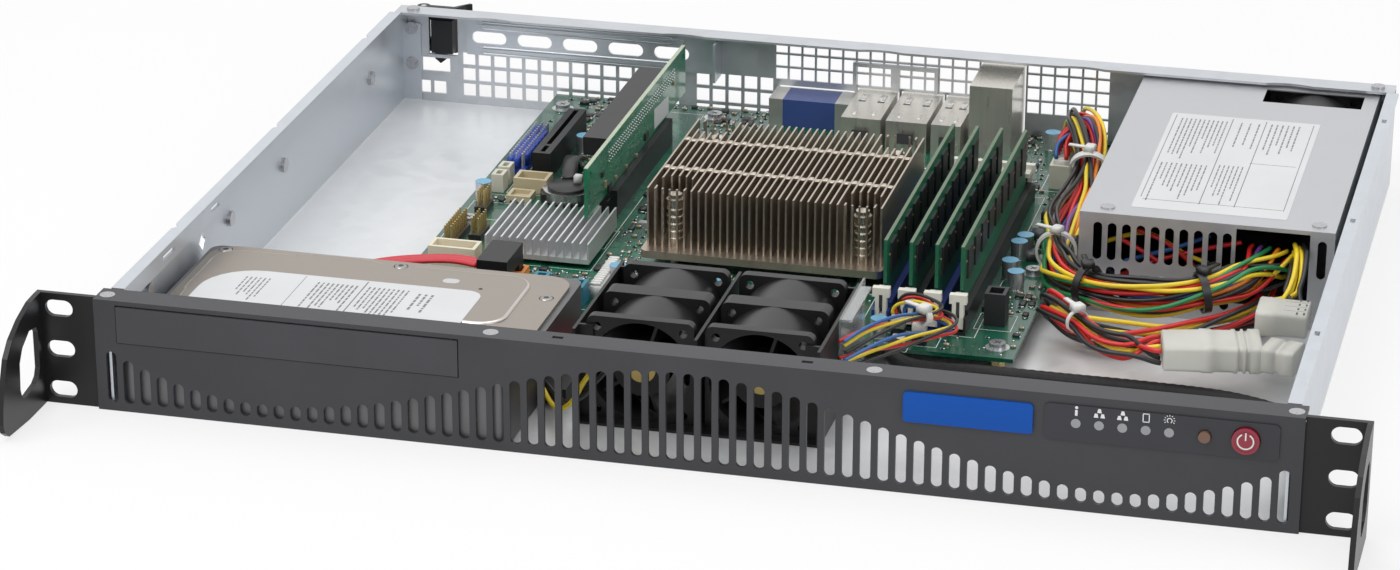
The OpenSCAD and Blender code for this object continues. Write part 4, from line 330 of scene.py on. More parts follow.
nodeFinish = {
    "chassis_tray": "galvanised", "rear_panel": "rearSteel", "front_panel": "frontPaint",
    "drive_bay_blank": "blankPaint", "left_rack_ear": "earPaint", "right_rack_ear": "earPaint",
    "badge_plate": "badgeBlue", "control_overlay": "overlayFilm", "status_lights": "lightLens",
    "control_board": "boardGreen", "case_screws": "zincScrew", "board_standoffs": "brass",
    "main_board": "boardGreen", "board_screws": "zincScrew", "cpu_socket": "socketSteel",
    "cpu_heatsink": "coolerNickel", "heatsink_spring_screws": "springSteel",
    "chipset_heatsink": "chipSinkAlloy", "memory_slots": "slotRow", "memory_modules": "memoryCards",
    "card_slots": "slotBlack", "riser_card": "riserBoard", "coin_cell": "coinSteel",
    "video_port": "videoPort", "port_shells": "portSteel", "board_sockets": "boardPlastic",
    "sata_ports": "dataPorts", "pin_headers": "headerPins", "capacitors": "capacitorCans",
    "board_chips": "chipBlack", "fan_tray": "trayBlack", "fan_housings": "fanBlack",
    "air_shroud": "clearSheet", "drive_body": "castAlloyInShade", "drive_cover": "driveLid",
    "sata_plug": "plugBlack", "sata_cable": "cableRed", "psu_case": "supplyCase",
    "slot_cover": "galvanised", "wire_harness": "insulation", "fan_leads": "insulation",
    "control_lead": "braidBlack", "nylon_connectors": "nylonWhite", "cable_ties": "tieStrap",
    "power_button": "buttonRed", "reset_button": "buttonBrown", "card_clamp": "plugBlack",
}
for name, node in nodes.items():
    material = finishes[nodeFinish.get(name, "rotorBlack" if "rotor" in name else "latchIvory")]
    if not node.data.materials:
        node.data.materials.append(material)
    for index in range(len(node.data.materials)):
        node.data.materials[index] = material
print("finishes on the solid parts")


def addPiece(name, points, faces, finish, slot, body="chassis", tint=None, smooth=True, replaced=()):
    mesh = bpy.data.meshes.new(name)
    mesh.from_pydata(np.asarray(points, float).tolist(), [], [list(f) for f in faces])
    mesh.materials.append(finishes[finish])
    if tint is not None:
        layer = mesh.attributes.new("tint", "FLOAT_COLOR", "POINT")
        full = np.ones((len(points), 4), np.float32)
        full[:, :3] = tint
        layer.data.foreach_set("color", full.ravel())
    mesh.polygons.foreach_set("use_smooth", [smooth] * len(mesh.polygons))
    mesh.update()
    piece = bpy.data.objects.new(name, mesh)
    bpy.context.scene.collection.objects.link(piece)
    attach(piece, body)
    if replaced:
        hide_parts(*replaced)
    return piece


def smoothRoute(points, step=1.2):
    # a cubic through every point, then stations evenly spaced by length
    p = np.asarray(points, float)
    p = np.vstack([2 * p[0] - p[1], p, 2 * p[-1] - p[-2]])
    t = np.linspace(0, len(p) - 3, 30 * (len(p) - 3) + 1)
    i = np.minimum(t.astype(int), len(p) - 4)
    u = (t - i)[:, None]
    a, b, c, d = p[i], p[i + 1], p[i + 2], p[i + 3]
    curve = 0.5 * (2 * b + (c - a) * u + (2 * a - 5 * b + 4 * c - d) * u ** 2
                   + (3 * b - a - 3 * c + d) * u ** 3)
    length = np.r_[0, np.cumsum(np.linalg.norm(np.diff(curve, axis=0), axis=1))]
    even = np.linspace(0, length[-1], max(6, int(length[-1] / step)))
    return np.stack([np.interp(even, length, curve[:, k]) for k in range(3)], axis=1)


def framesAlong(route):
    # side and lift of each station: the side starts level and is turned as little as the route lets it
    ahead = np.gradient(route, axis=0)
    ahead /= np.linalg.norm(ahead, axis=1)[:, None]
    side = np.cross(ahead[0], [0.0, 0.0, 1.0])
    if np.linalg.norm(side) < 0.2:
        side = np.array([1.0, 0.0, 0.0])
    sides = np.empty_like(ahead)
    for i, a in enumerate(ahead):
        side = side - a * side.dot(a)
        side = side / np.linalg.norm(side)
        sides[i] = side
    return ahead, sides, np.cross(sides, ahead)


def tubeFaces(n, m):
    # four-sided faces between n rings of m points, closed by the first ring and the last
    i, j = np.meshgrid(np.arange(n - 1), np.arange(m), indexing="ij")
    k = (j + 1) % m
    quads = np.stack([i * m + j, i * m + k, (i + 1) * m + k, (i + 1) * m + j], axis=-1).reshape(-1, 4)
    return quads.tolist() + [list(range(m))[::-1], list(range((n - 1) * m, n * m))]


def sweep(route, section, frames=None):
    # a closed profile (side, lift) carried along the route, with flat ends
    ahead, side, lift = frames or framesAlong(route)
    rings = (route[:, None, :] + side[:, None, :] * section[None, :, 0, None]
             + lift[:, None, :] * section[None, :, 1, None])
    return rings.reshape(-1, 3), tubeFaces(len(route), len(section))


def roundSection(radius, sides=8):
    angle = np.linspace(0, 2 * math.pi, sides, endpoint=False)
    return np.stack([np.cos(angle), np.sin(angle)], axis=1) * radius


def joinShapes(shapes):
    # several (points, faces, colour) as one mesh; a colour is one for the shape or one for each point
    points, faces, tints, base = [], [], [], 0
    for vertices, polygons, colour in shapes:
        points.append(vertices)
        faces += [[v + base for v in polygon] for polygon in polygons]
        tints.append(np.broadcast_to(np.asarray(colour, float), (len(vertices), 3)))
        base += len(vertices)
    return np.vstack(points), faces, np.vstack(tints)


def addShapes(name, shapes, finish, slot, **more):
    points, faces, tint = joinShapes(shapes)
    return addPiece(name, place(points), faces, finish, slot, tint=tint, **more)


def bricks(feet, sizes, colour=(1, 1, 1), chamfer=0.0, turn=0.0):
    # boxes standing on the points feet: a ring of corners at the foot and one at the top, or with a chamfer
    # three rings, the last one drawn in; turn is the angle about the upright axis in degrees
    feet = np.atleast_2d(np.asarray(feet, float))
    count = len(feet)
    size = np.broadcast_to(np.asarray(sizes, float), (count, 3))
    sign = np.array([[-1, -1], [1, -1], [1, 1], [-1, 1]], float)
    flat = sign[None] * size[:, None, :2] / 2
    levels = [(flat, np.zeros(count)), (flat, size[:, 2])]
    if chamfer > 0:
        cut = np.minimum(chamfer, size.min(axis=1) / 3)
        levels = [levels[0], (flat, size[:, 2] - cut), (flat - sign[None] * cut[:, None, None], size[:, 2])]
    rings = []
    angle = np.radians(np.broadcast_to(np.asarray(turn, float), (count,)))[:, None]
    for ring, height in levels:
        x = ring[..., 0] * np.cos(angle) - ring[..., 1] * np.sin(angle)
        y = ring[..., 0] * np.sin(angle) + ring[..., 1] * np.cos(angle)
        rings.append(np.stack([x, y, np.broadcast_to(height[:, None], x.shape)], axis=-1))
    points = (np.stack(rings, axis=1) + feet[:, None, None, :]).reshape(-1, 3)
    sides = [[r * 4 + k, r * 4 + (k + 1) % 4, (r + 1) * 4 + (k + 1) % 4, (r + 1) * 4 + k]
             for r in range(len(levels) - 1) for k in range(4)]
    last = 4 * (len(levels) - 1)
    cell = np.array([[3, 2, 1, 0]] + sides + [[last, last + 1, last + 2, last + 3]])
    each = 4 * len(levels)
    faces = (cell[None] + each * np.arange(count)[:, None, None]).reshape(-1, 4).tolist()
    tint = np.repeat(np.broadcast_to(np.asarray(colour, float), (count, 3)), each, axis=0)
    return points, faces, tint


def lathes(feet, profile, colour=(1, 1, 1), sides=16):
    # a profile of (radius, height) turned about an upright axis at each foot, closed at both ends
    feet = np.atleast_2d(np.asarray(feet, float))
    angle = np.linspace(0, 2 * math.pi, sides, endpoint=False)
    r, z = np.asarray(profile, float).T
    one = np.stack([r[:, None] * np.cos(angle), r[:, None] * np.sin(angle),
                    np.broadcast_to(z[:, None], (len(r), sides))], axis=-1).reshape(-1, 3)
    points = (one[None] + feet[:, None, :]).reshape(-1, 3)
    cell = [list(range(sides))[::-1], list(range((len(r) - 1) * sides, len(r) * sides))]
    cell += [[i * sides + k, i * sides + (k + 1) % sides, (i + 1) * sides + (k + 1) % sides,
              (i + 1) * sides + k]
             for i in range(len(r) - 1) for k in range(sides)]
    faces = [[v + n * len(one) for v in face] for n in range(len(feet)) for face in cell]
    return points, faces, np.broadcast_to(np.asarray(colour, float), (len(points), 3))


def slabShape(outline, low, high, colour=(1, 1, 1)):
    # a flat outline, counter-clockwise from above, given a thickness from low to high
    flat = np.asarray(outline, float)
    count = len(flat)
    points = np.vstack([np.c_[flat, np.full(count, low)], np.c_[flat, np.full(count, high)]])
    faces = [list(range(count))[::-1], list(range(count, 2 * count))]
    faces += [[k, (k + 1) % count, count + (k + 1) % count, count + k] for k in range(count)]
    return points, faces, np.broadcast_to(np.asarray(colour, float), (2 * count, 3))


def roundedOutline(x0, y0, x1, y1, radii, steps=8):
    # a rectangle with its own corner radius at each of front right, back right, back left and front left
    corners = [(x1, y0, -90), (x1, y1, 0), (x0, y1, 90), (x0, y0, 180)]
    inward = [(-1, 1), (-1, -1), (1, -1), (1, 1)]
    pieces = []
    for (x, y, begin), (dx, dy), r in zip(corners, inward, radii):
        angle = np.radians(np.linspace(begin, begin + 90, steps))
        pieces.append(np.stack([x + dx * r + r * np.cos(angle), y + dy * r + r * np.sin(angle)], axis=1))
    return np.vstack(pieces)


def facing(shape, how):
    # lays a flat print upright: "front" looks towards the viewer, "right" looks to the right
    points, faces, tint = shape
    x, y, z = points.T
    if how == "front":
        points = np.stack([x, -z, y], axis=1)
    else:
        points = np.stack([z, x, y], axis=1)
    return points, faces, tint


def pointsAt(x, y, z):
    # rows of (x, y, z); a single number stands for every row
    return np.stack(np.broadcast_arrays(x, y, z), axis=-1).astype(float)


def nearest(route, point):
    return int(np.argmin(np.linalg.norm(route - np.asarray(point, float), axis=1)))


def bundle(route, colours, wireRadius, spread, twist=0.02, loose=0.4, ties=(), seed=1, start=None, end=None,
           sides=8):
    # wires on a sunflower pattern round the route, slowly turning and wandering; they bulge between the ties
    # start and end give (offsets in mm, length of the run-in), where the wires enter a connector
    rng = np.random.default_rng(seed)
    ahead, side, lift = framesAlong(route)
    s = np.r_[0, np.cumsum(np.linalg.norm(np.diff(route, axis=0), axis=1))]
    near = np.full(len(route), 60.0)
    for tie in ties:
        near = np.minimum(near, np.abs(s - s[nearest(route, tie)]))
    slack = 1 + loose * (1 - np.exp(-(near / 14.0) ** 2))
    shapes = []
    for k, colour in enumerate(colours):
        r = spread * math.sqrt((k + 0.5) / len(colours))
        phase = rng.uniform(0, 2 * math.pi, 3)
        turn = k * 2.39996 + twist * s + 0.5 * np.sin(s / 21 + phase[0])
        reach = (r + 0.35 * wireRadius * np.sin(s / 13 + phase[1])) * slack
        path = route + side * (reach * np.cos(turn))[:, None] + lift * (reach * np.sin(turn))[:, None]
        for ends, away in ((start, s), (end, s[-1] - s)):
            if ends is None:
                continue
            offsets, runIn = ends
            w = np.clip(away / runIn, 0, 1)
            w = (w * w * (3 - 2 * w))[:, None]
            path = (route + np.asarray(offsets[k % len(offsets)], float)) * (1 - w) + path * w
        points, faces = sweep(path, roundSection(wireRadius, sides))
        shapes.append((points, faces, colour))
    return shapes


wireColours = {
    "yellow": (0.86, 0.64, 0.03), "black": (0.013, 0.013, 0.014), "red": (0.66, 0.022, 0.022),
    "orange": (0.86, 0.24, 0.02), "blue": (0.03, 0.12, 0.36), "green": (0.02, 0.24, 0.08),
    "purple": (0.18, 0.06, 0.30), "grey": (0.32, 0.32, 0.33),
}


def named(text):
    return [wireColours[word] for word in text.split()]


def pinGrid(across, down, columns, rows, pitch):
    # offsets of a connector's cells, from its middle, along two directions
    a, b = np.asarray(across, float), np.asarray(down, float)
    return [a * pitch * (i - (columns - 1) / 2) + b * pitch * (j - (rows - 1) / 2)
            for i in range(columns) for j in range(rows)]


def layBundle(settings, key="route", step=1.2, **more):
    return bundle(smoothRoute(settings[key], step), named(settings["wires"]), settings["wireRadius"],
                  settings["spread"], **settings["lay"], **more)


# the supply's main bundle, from the board's power socket round the case to the opening in the supply
mainBundle = {
    "route": [[86, 314, 21.2], [86, 314, 27], [92, 304, 31], [97, 290, 29], [100, 275, 24], [100, 258, 19],
              [98, 240, 17.6], [97.6, 218, 17.6], [100, 198, 17.8], [103, 183, 18], [108, 170, 19],
              [118, 162, 19], [132, 157, 19], [148, 157, 19], [162, 161, 21], [173, 168, 23], [181, 178, 25],
              [185, 189, 25]],
    "wires": "blue red red red red orange red purple black grey black green "
             "yellow black black orange yellow black red yellow black green black yellow",
    "wireRadius": 0.9,
    "spread": 5.6,
    "lay": {"twist": 0.012, "loose": 0.38, "seed": 4,
            "ties": [[100, 275, 24], [100, 198, 17.8], [118, 162, 19], [162, 161, 21]],
            "start": (pinGrid((0, 1, 0), (1, 0, 0), 12, 2, 4.2), 22),
            "end": (pinGrid((1, -0.2, 0), (0, 0, 1), 6, 4, 3.4), 24)},
}
addShapes("mainBundle", layBundle(mainBundle), "insulation", "wires", replaced=("wire_harness",))

# the drive's power lead with its round plug pair, and the processor's lead
driveLead = {
    "route": [[186, 187, 14], [183, 172, 12], [174, 160, 11], [160, 150, 10], [146, 143, 9], [130, 140, 9],
              [118, 142, 10], [110, 146, 14], [107, 141, 19], [112, 132, 21], [121, 121, 21], [131, 110, 19],
              [142, 107, 18], [153.8, 109.3, 17.5]],
    "wires": "yellow red black red black yellow black red",
    "wireRadius": 0.95,
    "spread": 2.9,
    "lay": {"loose": 0.9, "ties": [[121, 121, 21]], "seed": 8,
            "end": (pinGrid((0.2, -1, 0), (0, 0, 1), 4, 2, 4.6), 14)},
}
addShapes("driveLead", layBundle(driveLead), "insulation", "wires")

processorLead = {
    "route": [[194, 187, 31], [196, 175, 32], [196.5, 164, 28.5], [195.5, 156, 24.5], [195, 151.6, 23.2],
              [195, 147.7, 23.2]],
    "wires": "yellow yellow yellow yellow black black black black",
    "wireRadius": 0.95,
    "spread": 3.0,
    "lay": {"loose": 0.3, "seed": 9, "end": (pinGrid((1, 0, 0), (0, 0, 1), 4, 2, 4.0), 12)},
}
addShapes("processorLead", layBundle(processorLead), "insulation", "wires")

# the fans' leads, four wires each, from the tray over the board's front edge to their plugs
fanLeads = {
    "outer": [[47, 52, 31], [54, 62, 33], [63, 74, 33], [70, 86, 31], [73, 99, 28], [70, 109, 26],
              [62, 115.5, 25.5], [56.3, 117.8, 23.6], [54.2, 118, 21], [54.2, 118, 18.1]],
    "inner": [[47, 50, 26], [57, 58, 28], [68, 71, 28], [76, 86, 26], [79, 98, 24], [75, 107, 23],
              [68, 112, 22.6], [64.4, 113, 21.6], [63.3, 113, 20], [63.3, 113, 18.1]],
    "wires": "yellow red black blue",
    "wireRadius": 0.66,
    "spread": 1.9,
    "lay": {"twist": 0.05, "loose": 0.7, "ties": [[70, 86, 31]],
            "end": (pinGrid((1, 0, 0), (0, 1, 0), 4, 1, 1.5), 9)},
}
shapes = layBundle(fanLeads, "outer", 1.0, seed=20) + layBundle(fanLeads, "inner", 1.0, seed=21)
addShapes("fanWires", shapes, "insulation", "wires", replaced=("fan_leads",))

# single wires seen through the openings: inside the supply, and in front of the fans
strayWires = {
    "supply": [("red", [[118, 190, 9], [128, 187, 15], [142, 188, 22], [158, 190, 27], [172, 193, 30]]),
               ("blue", [[116, 188, 13], [130, 190, 20], [146, 187, 27], [160, 192, 32]]),
               ("black", [[117, 186, 20], [132, 186.5, 12], [148, 187, 18], [163, 190, 22]]),
               ("red", [[125, 187, 30], [137, 187, 24], [150, 187, 16], [166, 191, 13]]),
               ("yellow", [[120, 192, 26], [136, 191, 31], [152, 190, 24], [168, 192, 18]]),
               ("green", [[119, 191, 6], [133, 190, 12], [150, 190, 10], [166, 194, 9]]),
               ("red", [[130, 188, 34], [143, 187, 30], [153, 188, 22], [160, 193, 12]])],
    "front": [("yellow",
               [[-62, 40, 9], [-55, 28, 8], [-49, 19, 10], [-43, 15, 16], [-38, 13, 25], [-31, 10, 34],
                [-22, 8.5, 39.5], [-8, 8, 40]]),
              ("black",
               [[-62, 44, 9], [-53, 31, 9], [-46, 21, 12], [-39, 16, 18], [-33, 13, 26], [-26, 10, 34],
                [-18, 8.5, 39.5], [-4, 8, 40]])],
    "wireRadius": 0.95,
}
section = roundSection(strayWires["wireRadius"])
for key in ("supply", "front"):
    shapes = [sweep(smoothRoute(points), section) + (wireColours[colour],)
              for colour, points in strayWires[key]]
    addShapes(key + "Wires", shapes, "insulation", "wires")


def laidFlat(route):
    # frames whose side stays level, for a flat cable that folds over on itself without a twist
    ahead = np.gradient(route, axis=0)
    ahead /= np.linalg.norm(ahead, axis=1)[:, None]
    side = np.cross(ahead, [0.0, 0.0, 1.0])
    side /= np.maximum(np.linalg.norm(side, axis=1), 1e-6)[:, None]
    flips = np.cumprod(np.where(np.r_[1.0, np.einsum("ij,ij->i", side[1:], side[:-1])] < 0, -1.0, 1.0))
    side *= flips[:, None]
    return ahead, side, np.cross(side, ahead)


# the drive's flat red data cable: a flattened oval with two grooves along each face
dataCable = {
    "route": [[-110, 122, 21], [-120, 124, 21], [-132, 124, 20], [-146, 120, 19], [-160, 114, 17],
              [-174, 109, 14], [-186, 108, 10], [-192, 108, 6], [-184, 109, 3.6], [-150, 109, 3.6],
              [-110, 109, 3.6], [-78, 109, 3.6], [-60, 107, 4], [-53, 98, 5], [-52, 82, 6],
              [-56.5, 57.1, 6.5]],
    "width": 7.0, "thick": 1.8, "groove": 0.12, "grooveAt": 0.38, "grooveWide": 0.07, "edge": 0.16,
}
across = np.linspace(-1, 1, 25)
rim = dataCable["thick"] / 2 * (1 - np.abs(across) ** 9) ** 0.5
dip = np.exp(-((np.abs(across) - dataCable["grooveAt"]) / dataCable["grooveWide"]) ** 2)
rim = np.maximum(rim - dataCable["groove"] * dip, dataCable["edge"])
section = np.vstack([np.c_[across, -rim], np.c_[across[::-1], rim[::-1]]]) * [dataCable["width"] / 2, 1]
route = smoothRoute(dataCable["route"])
points, faces = sweep(route, section, frames=laidFlat(route))
addPiece("dataCable", place(points), faces, "cableRed", "red_cable", replaced=("sata_cable",))

# the front board's lead in a braided sleeve: a round section whose radius ripples with the braid
sleeve = {
    "route": [[206, 14, 30.5], [206, 18, 30.5], [208, 28, 27], [209, 45, 18], [208, 70, 9], [200, 90, 5.5],
              [180, 99, 5], [150, 101, 5], [120, 101, 5], [90, 101, 5], [74, 98.5, 5.4], [64, 95, 7.6],
              [58, 94.6, 10], [56, 98.4, 11], [56, 104.7, 11]],
    "radius": 2.9, "ripple": 0.14, "strands": 12, "lay": 1.1, "step": 0.8, "sides": 36,
}
route = smoothRoute(sleeve["route"], sleeve["step"])
ahead, side, lift = framesAlong(route)
along = np.arange(len(route))[:, None] * sleeve["step"]
angle = np.linspace(0, 2 * math.pi, sleeve["sides"], endpoint=False)[None, :]
turns = sleeve["strands"] / 2
weave = np.sin(turns * angle + along / sleeve["lay"]) * np.sin(turns * angle - along / sleeve["lay"])
radius = sleeve["radius"] + sleeve["ripple"] * weave
rings = (route[:, None, :] + side[:, None, :] * (radius * np.cos(angle))[..., None]
         + lift[:, None, :] * (radius * np.sin(angle))[..., None])
addPiece("braidedLead", place(rings.reshape(-1, 3)), tubeFaces(*rings.shape[:2]), "braidBlack", "braid",
         replaced=("control_lead",))

# heads and tails of the zip ties: a small block with a strap end that sticks out of it
white, black = (0.74, 0.74, 0.71), (0.014, 0.014, 0.015)
tieHeads = {
    "places": [((100, 275, 31.5), white, 80), ((100, 198, 25.2), white, 70), ((118, 162, 26.4), black, 20),
               ((162, 161, 28.4), black, -30), ((70, 86, 33.4), white, 60), ((121, 121, 25.2), white, 40)],
    "head": (4.6, 4.0, 2.8), "tail": (1.9, 9.0, 0.8),
}
shapes = []
for (x, y, z), colour, turn in tieHeads["places"]:
    shapes.append(bricks((x, y, z), tieHeads["head"], colour, 0.5, turn))
    lean = math.radians(turn)
    length = tieHeads["tail"][1]
    shapes.append(bricks((x - math.sin(lean) * length / 2, y + math.cos(lean) * length / 2, z + 1.2),
                         tieHeads["tail"], colour, 0.2, turn))
addShapes("tieHeads", shapes, "mixedParts", "tie")
print("wires laid")


# white nylon plugs: moulded bodies lofted along their own length, with seams, cells and slits
def loftedPlug(at, size, turn, stations, colour, corner=0.35, around=28):
    # a rounded rectangle carried along the plug; each station gives its place and its width and height shares
    angle = np.linspace(0, 2 * math.pi, around, endpoint=False)
    ring = np.stack([np.sign(np.cos(angle)) * np.abs(np.cos(angle)) ** corner,
                     np.sign(np.sin(angle)) * np.abs(np.sin(angle)) ** corner], axis=1)
    along, wide, high = np.asarray(stations, float).T
    x = np.broadcast_to(along[:, None] * size[0], (len(along), around))
    y = wide[:, None] * ring[None, :, 0] * size[1] / 2
    z = high[:, None] * ring[None, :, 1] * size[2] / 2 + size[2] / 2
    c, sn = math.cos(math.radians(turn)), math.sin(math.radians(turn))
    points = np.stack([x * c - y * sn, x * sn + y * c, z], axis=-1).reshape(-1, 3) + np.asarray(at, float)
    return points, tubeFaces(len(along), around), colour


nylonPlugs = {
    "milk": (1.0, 1.0, 1.0), "shade": (0.42, 0.42, 0.40), "openingShade": (0.05, 0.05, 0.05),
    "drive": ((172, 113, 12), (36, 21, 11), 12,
              [(-0.5, 0.84, 0.82), (-0.485, 0.92, 0.92), (-0.12, 0.96, 0.96),
               (-0.11, 1.0, 1.0), (0.0, 1.0, 1.0),
               (0.01, 0.95, 0.95), (0.2, 0.95, 0.95), (0.22, 1.0, 1.0), (0.25, 1.0, 1.0), (0.26, 0.9, 0.9),
               (0.3, 0.9, 0.9), (0.31, 1.0, 1.0), (0.33, 1.0, 1.0), (0.34, 0.9, 0.9), (0.37, 0.9, 0.9),
               (0.38, 1.0, 1.02), (0.48, 1.0, 1.02), (0.5, 0.95, 0.95)]),
    "small": ((198, 112, 13), (13, 14, 10), -12,
              [(-0.5, 0.9, 0.9), (-0.46, 1.0, 1.0), (-0.1, 1.0, 1.0), (-0.08, 0.9, 0.9), (0.05, 0.9, 0.9),
               (0.07, 1.0, 1.0), (0.46, 1.0, 1.0), (0.5, 0.92, 0.92)]),
    "processor": ((195, 138, 18), (19, 18, 10), 0,
                  [(-0.5, 0.94, 0.94), (-0.47, 1.0, 1.0), (-0.1, 1.0, 1.0), (-0.09, 0.97, 0.97),
                   (0.47, 0.97, 0.97), (0.5, 0.92, 0.92)]),
    "long": ((86.4, 314.2, 10.5), (6.6, 49.0, 10.6)), "ribs": (12, 4.0, 21.0, (6.0, 3.2, 0.5)),
    "fans": ([(54.2, 117.9, 13.1), (63.3, 113.1, 13.1)], (5.2, 4.2, 5.0)),
    "lead": ((56.0, 108.4, 9.1), (5.0, 6.6, 4.0)),
}
milk, shadeTone, openingShade = nylonPlugs["milk"], nylonPlugs["shade"], nylonPlugs["openingShade"]
shapes = [loftedPlug(*nylonPlugs[key], milk, corner=0.3) for key in ("drive", "small", "processor")]
(longX, longY, _), _ = nylonPlugs["long"]
ribs, ribPitch, ribFoot, ribSize = nylonPlugs["ribs"]
shapes.append(bricks(*nylonPlugs["long"], milk, 0.6))
shapes.append(bricks(pointsAt(longX, longY + (np.arange(ribs) - (ribs - 1) / 2) * ribPitch, ribFoot), ribSize,
                     milk, 0.15))
shapes.append(bricks(*nylonPlugs["fans"], milk, 0.5))
shapes.append(bricks(*nylonPlugs["lead"], milk, 0.4))
addShapes("nylonPlugs", shapes, "nylonWhite", "nylon", replaced=("nylon_connectors",))
# the plugs' cells, slits and mouths are near-black bricks: painted shade in the openings; the seams between
# cells are grey painted shade
cellDetail = {
    "count": 4, "pitch": 4.3, "top": 27.8, "slits": (200.6, 203.2), "slit": (0.7, 1.7, 0.1),
    "seamsAt": 199.6, "seam": (8.6, 0.25, 0.1), "mouthAt": (203.9, 21.5), "mouth": (0.9, 2.6, 3.0),
    "openPitch": 4.8, "openEnd": 17.7, "openFoot": 15.6, "open": (0.9, 3.4, 3.6),
}
steps = np.arange(cellDetail["count"]) - (cellDetail["count"] - 1) / 2
cellRow = nylonPlugs["processor"][0][1] + steps * cellDetail["pitch"]
shapes = [bricks(pointsAt(x, cellRow, cellDetail["top"]), cellDetail["slit"], openingShade)
          for x in cellDetail["slits"]]
shapes.append(bricks(pointsAt(cellDetail["seamsAt"], (cellRow[1:] + cellRow[:-1]) / 2, cellDetail["top"]),
                     cellDetail["seam"], shadeTone))
shapes.append(bricks(pointsAt(cellDetail["mouthAt"][0], cellRow, cellDetail["mouthAt"][1]),
                     cellDetail["mouth"], openingShade))
(openX, openY, _), _, openTurn, _ = nylonPlugs["drive"]
lean = math.radians(openTurn)
for off in steps * cellDetail["openPitch"]:  # the four round cells of the drive plug's open end
    shapes.append(bricks((openX + cellDetail["openEnd"] * math.cos(lean) - off * math.sin(lean),
                          openY + cellDetail["openEnd"] * math.sin(lean) + off * math.cos(lean),
                          cellDetail["openFoot"]), cellDetail["open"], openingShade, 0.3, openTurn))
addShapes("plugCellShades", shapes, "mixedParts", "nylon", smooth=False)

# the coin cell's black clip and arm, blue jumper caps and the ribbed white strip beside the fan tray
clipDetail = {
    "at": (-105.0, 229.2, 13.5), "radius": 8.4, "high": 1.3, "chamfer": (0.4, 0.3), "band": (3.2, 0.6),
    "catch": ((-101.6, 232.6, 14.6), (3.4, 2.6, 3.6)), "strip": ((-65.8, 142.0, 9.0), (4.6, 30.0, 5.0)),
    "ribs": (13, 2.3, 14.0, (4.0, 1.3, 1.2)), "capFoot": 11.6, "cap": (2.3, 4.8, 4.9),
    "capColour": (0.02, 0.06, 0.38),
}
radius, high = clipDetail["radius"], clipDetail["high"]
shapes = [lathes(clipDetail["at"], [(radius, 0.0), (radius, high - clipDetail["chamfer"][1]),
                                    (radius - clipDetail["chamfer"][0], high)], black, 40)]
arm = smoothRoute([[-106, 236, 14.9], [-108, 243, 16.4], [-110, 252, 16.6], [-111, 262, 14.6],
                   [-111, 270, 11]])
flatBand = np.array([(-1, -1), (1, -1), (1, 1), (-1, 1)]) * clipDetail["band"]
shapes.append(sweep(arm, flatBand, frames=laidFlat(arm)) + (black,))
shapes.append(bricks(*clipDetail["catch"], white, 0.4))
shapes.append(bricks(*clipDetail["strip"], white, 0.4))
(stripX, stripY, _), _ = clipDetail["strip"]
ribs, ribPitch, ribFoot, ribSize = clipDetail["ribs"]
shapes.append(bricks(pointsAt(stripX, stripY + (np.arange(ribs) - (ribs - 1) / 2) * ribPitch, ribFoot),
                     ribSize, white, 0.25))
caps = np.array([(-133 + (c - 1) * 2.54, 269.8 + (r - 7) * 2.54) for c in range(3) for r in range(0, 15, 2)
                 if (c * 5 + r) % 7 != 3])
shapes.append(bricks(pointsAt(caps[:, 0], caps[:, 1], clipDetail["capFoot"]), clipDetail["cap"],
                     clipDetail["capColour"], 0.35))
addShapes("boardClips", shapes, "mixedParts", "mixed_plastic")


# printed and glued labels, with plain lines only
def columnsOfPrint(x0, x1, y0, y1, count, width, seed, z, thick=0.03):
    # lines of short dashes that run front to back, each line from y1 towards y0 with its own length
    rng = np.random.default_rng(seed)
    feet, sizes = [], []
    for x, share in zip(np.linspace(x0, x1, count), rng.uniform(0.5, 1.0, count)):
        dash = rng.uniform(1.0, 4.2, int((y1 - y0) * share / 3.3) + 1)
        end = np.cumsum(dash + 0.7)
        feet.append(pointsAt(x, y1 - end + dash / 2, z))
        sizes.append(pointsAt(width, dash, thick))
    return bricks(np.vstack(feet), np.vstack(sizes))


def glueLabel(name, settings, top, slot, seed):
    # a paper with rounded corners on a lid, with columns of print, thin rules and cross bars on it
    (x0, y0), (x1, y1) = settings["corner"], settings["far"]
    paper, ink = top + settings["thick"], settings["ink"]
    outline = roundedOutline(x0, y0, x1, y1, settings["radii"], settings["steps"])
    addShapes(name + "Label", [slabShape(outline, top - settings["sunk"], paper)], "labelPaper", slot,
              smooth=False)
    shapes = [columnsOfPrint(*entry, seed + n, paper, ink) for n, entry in enumerate(settings["text"])]
    shapes += [bricks((x, (low + high) / 2, paper), (width, high - low, ink))
               for x, low, high, width in settings["rules"]]
    shapes += [bricks((x, y, paper), (length, width, ink)) for x, y, length, width in settings["bars"]]
    addShapes(name + "Print", shapes, "printInk", slot, smooth=False)


driveLabel = {
    "corner": (-199.7, 12.0), "far": (-94.5, 77.2), "radii": (4.0, 6.0, 20.0, 20.0), "steps": 8,
    "thick": 0.12, "sunk": 0.2, "ink": 0.03,
    "text": [(-185, -176, 48, 71, 6, 0.6), (-157, -142, 44, 72, 9, 0.7), (-137, -122, 42, 72, 9, 0.7),
             (-117, -112, 50, 70, 3, 1.0)],
    "rules": [(-163.5, 14, 76, 0.25), (-139.3, 14, 76, 0.5)],
    "bars": [],
}
lidTop = benchBox("drive_cover")[1][2]
glueLabel("drive", driveLabel, lidTop, "drive_lid", 30)
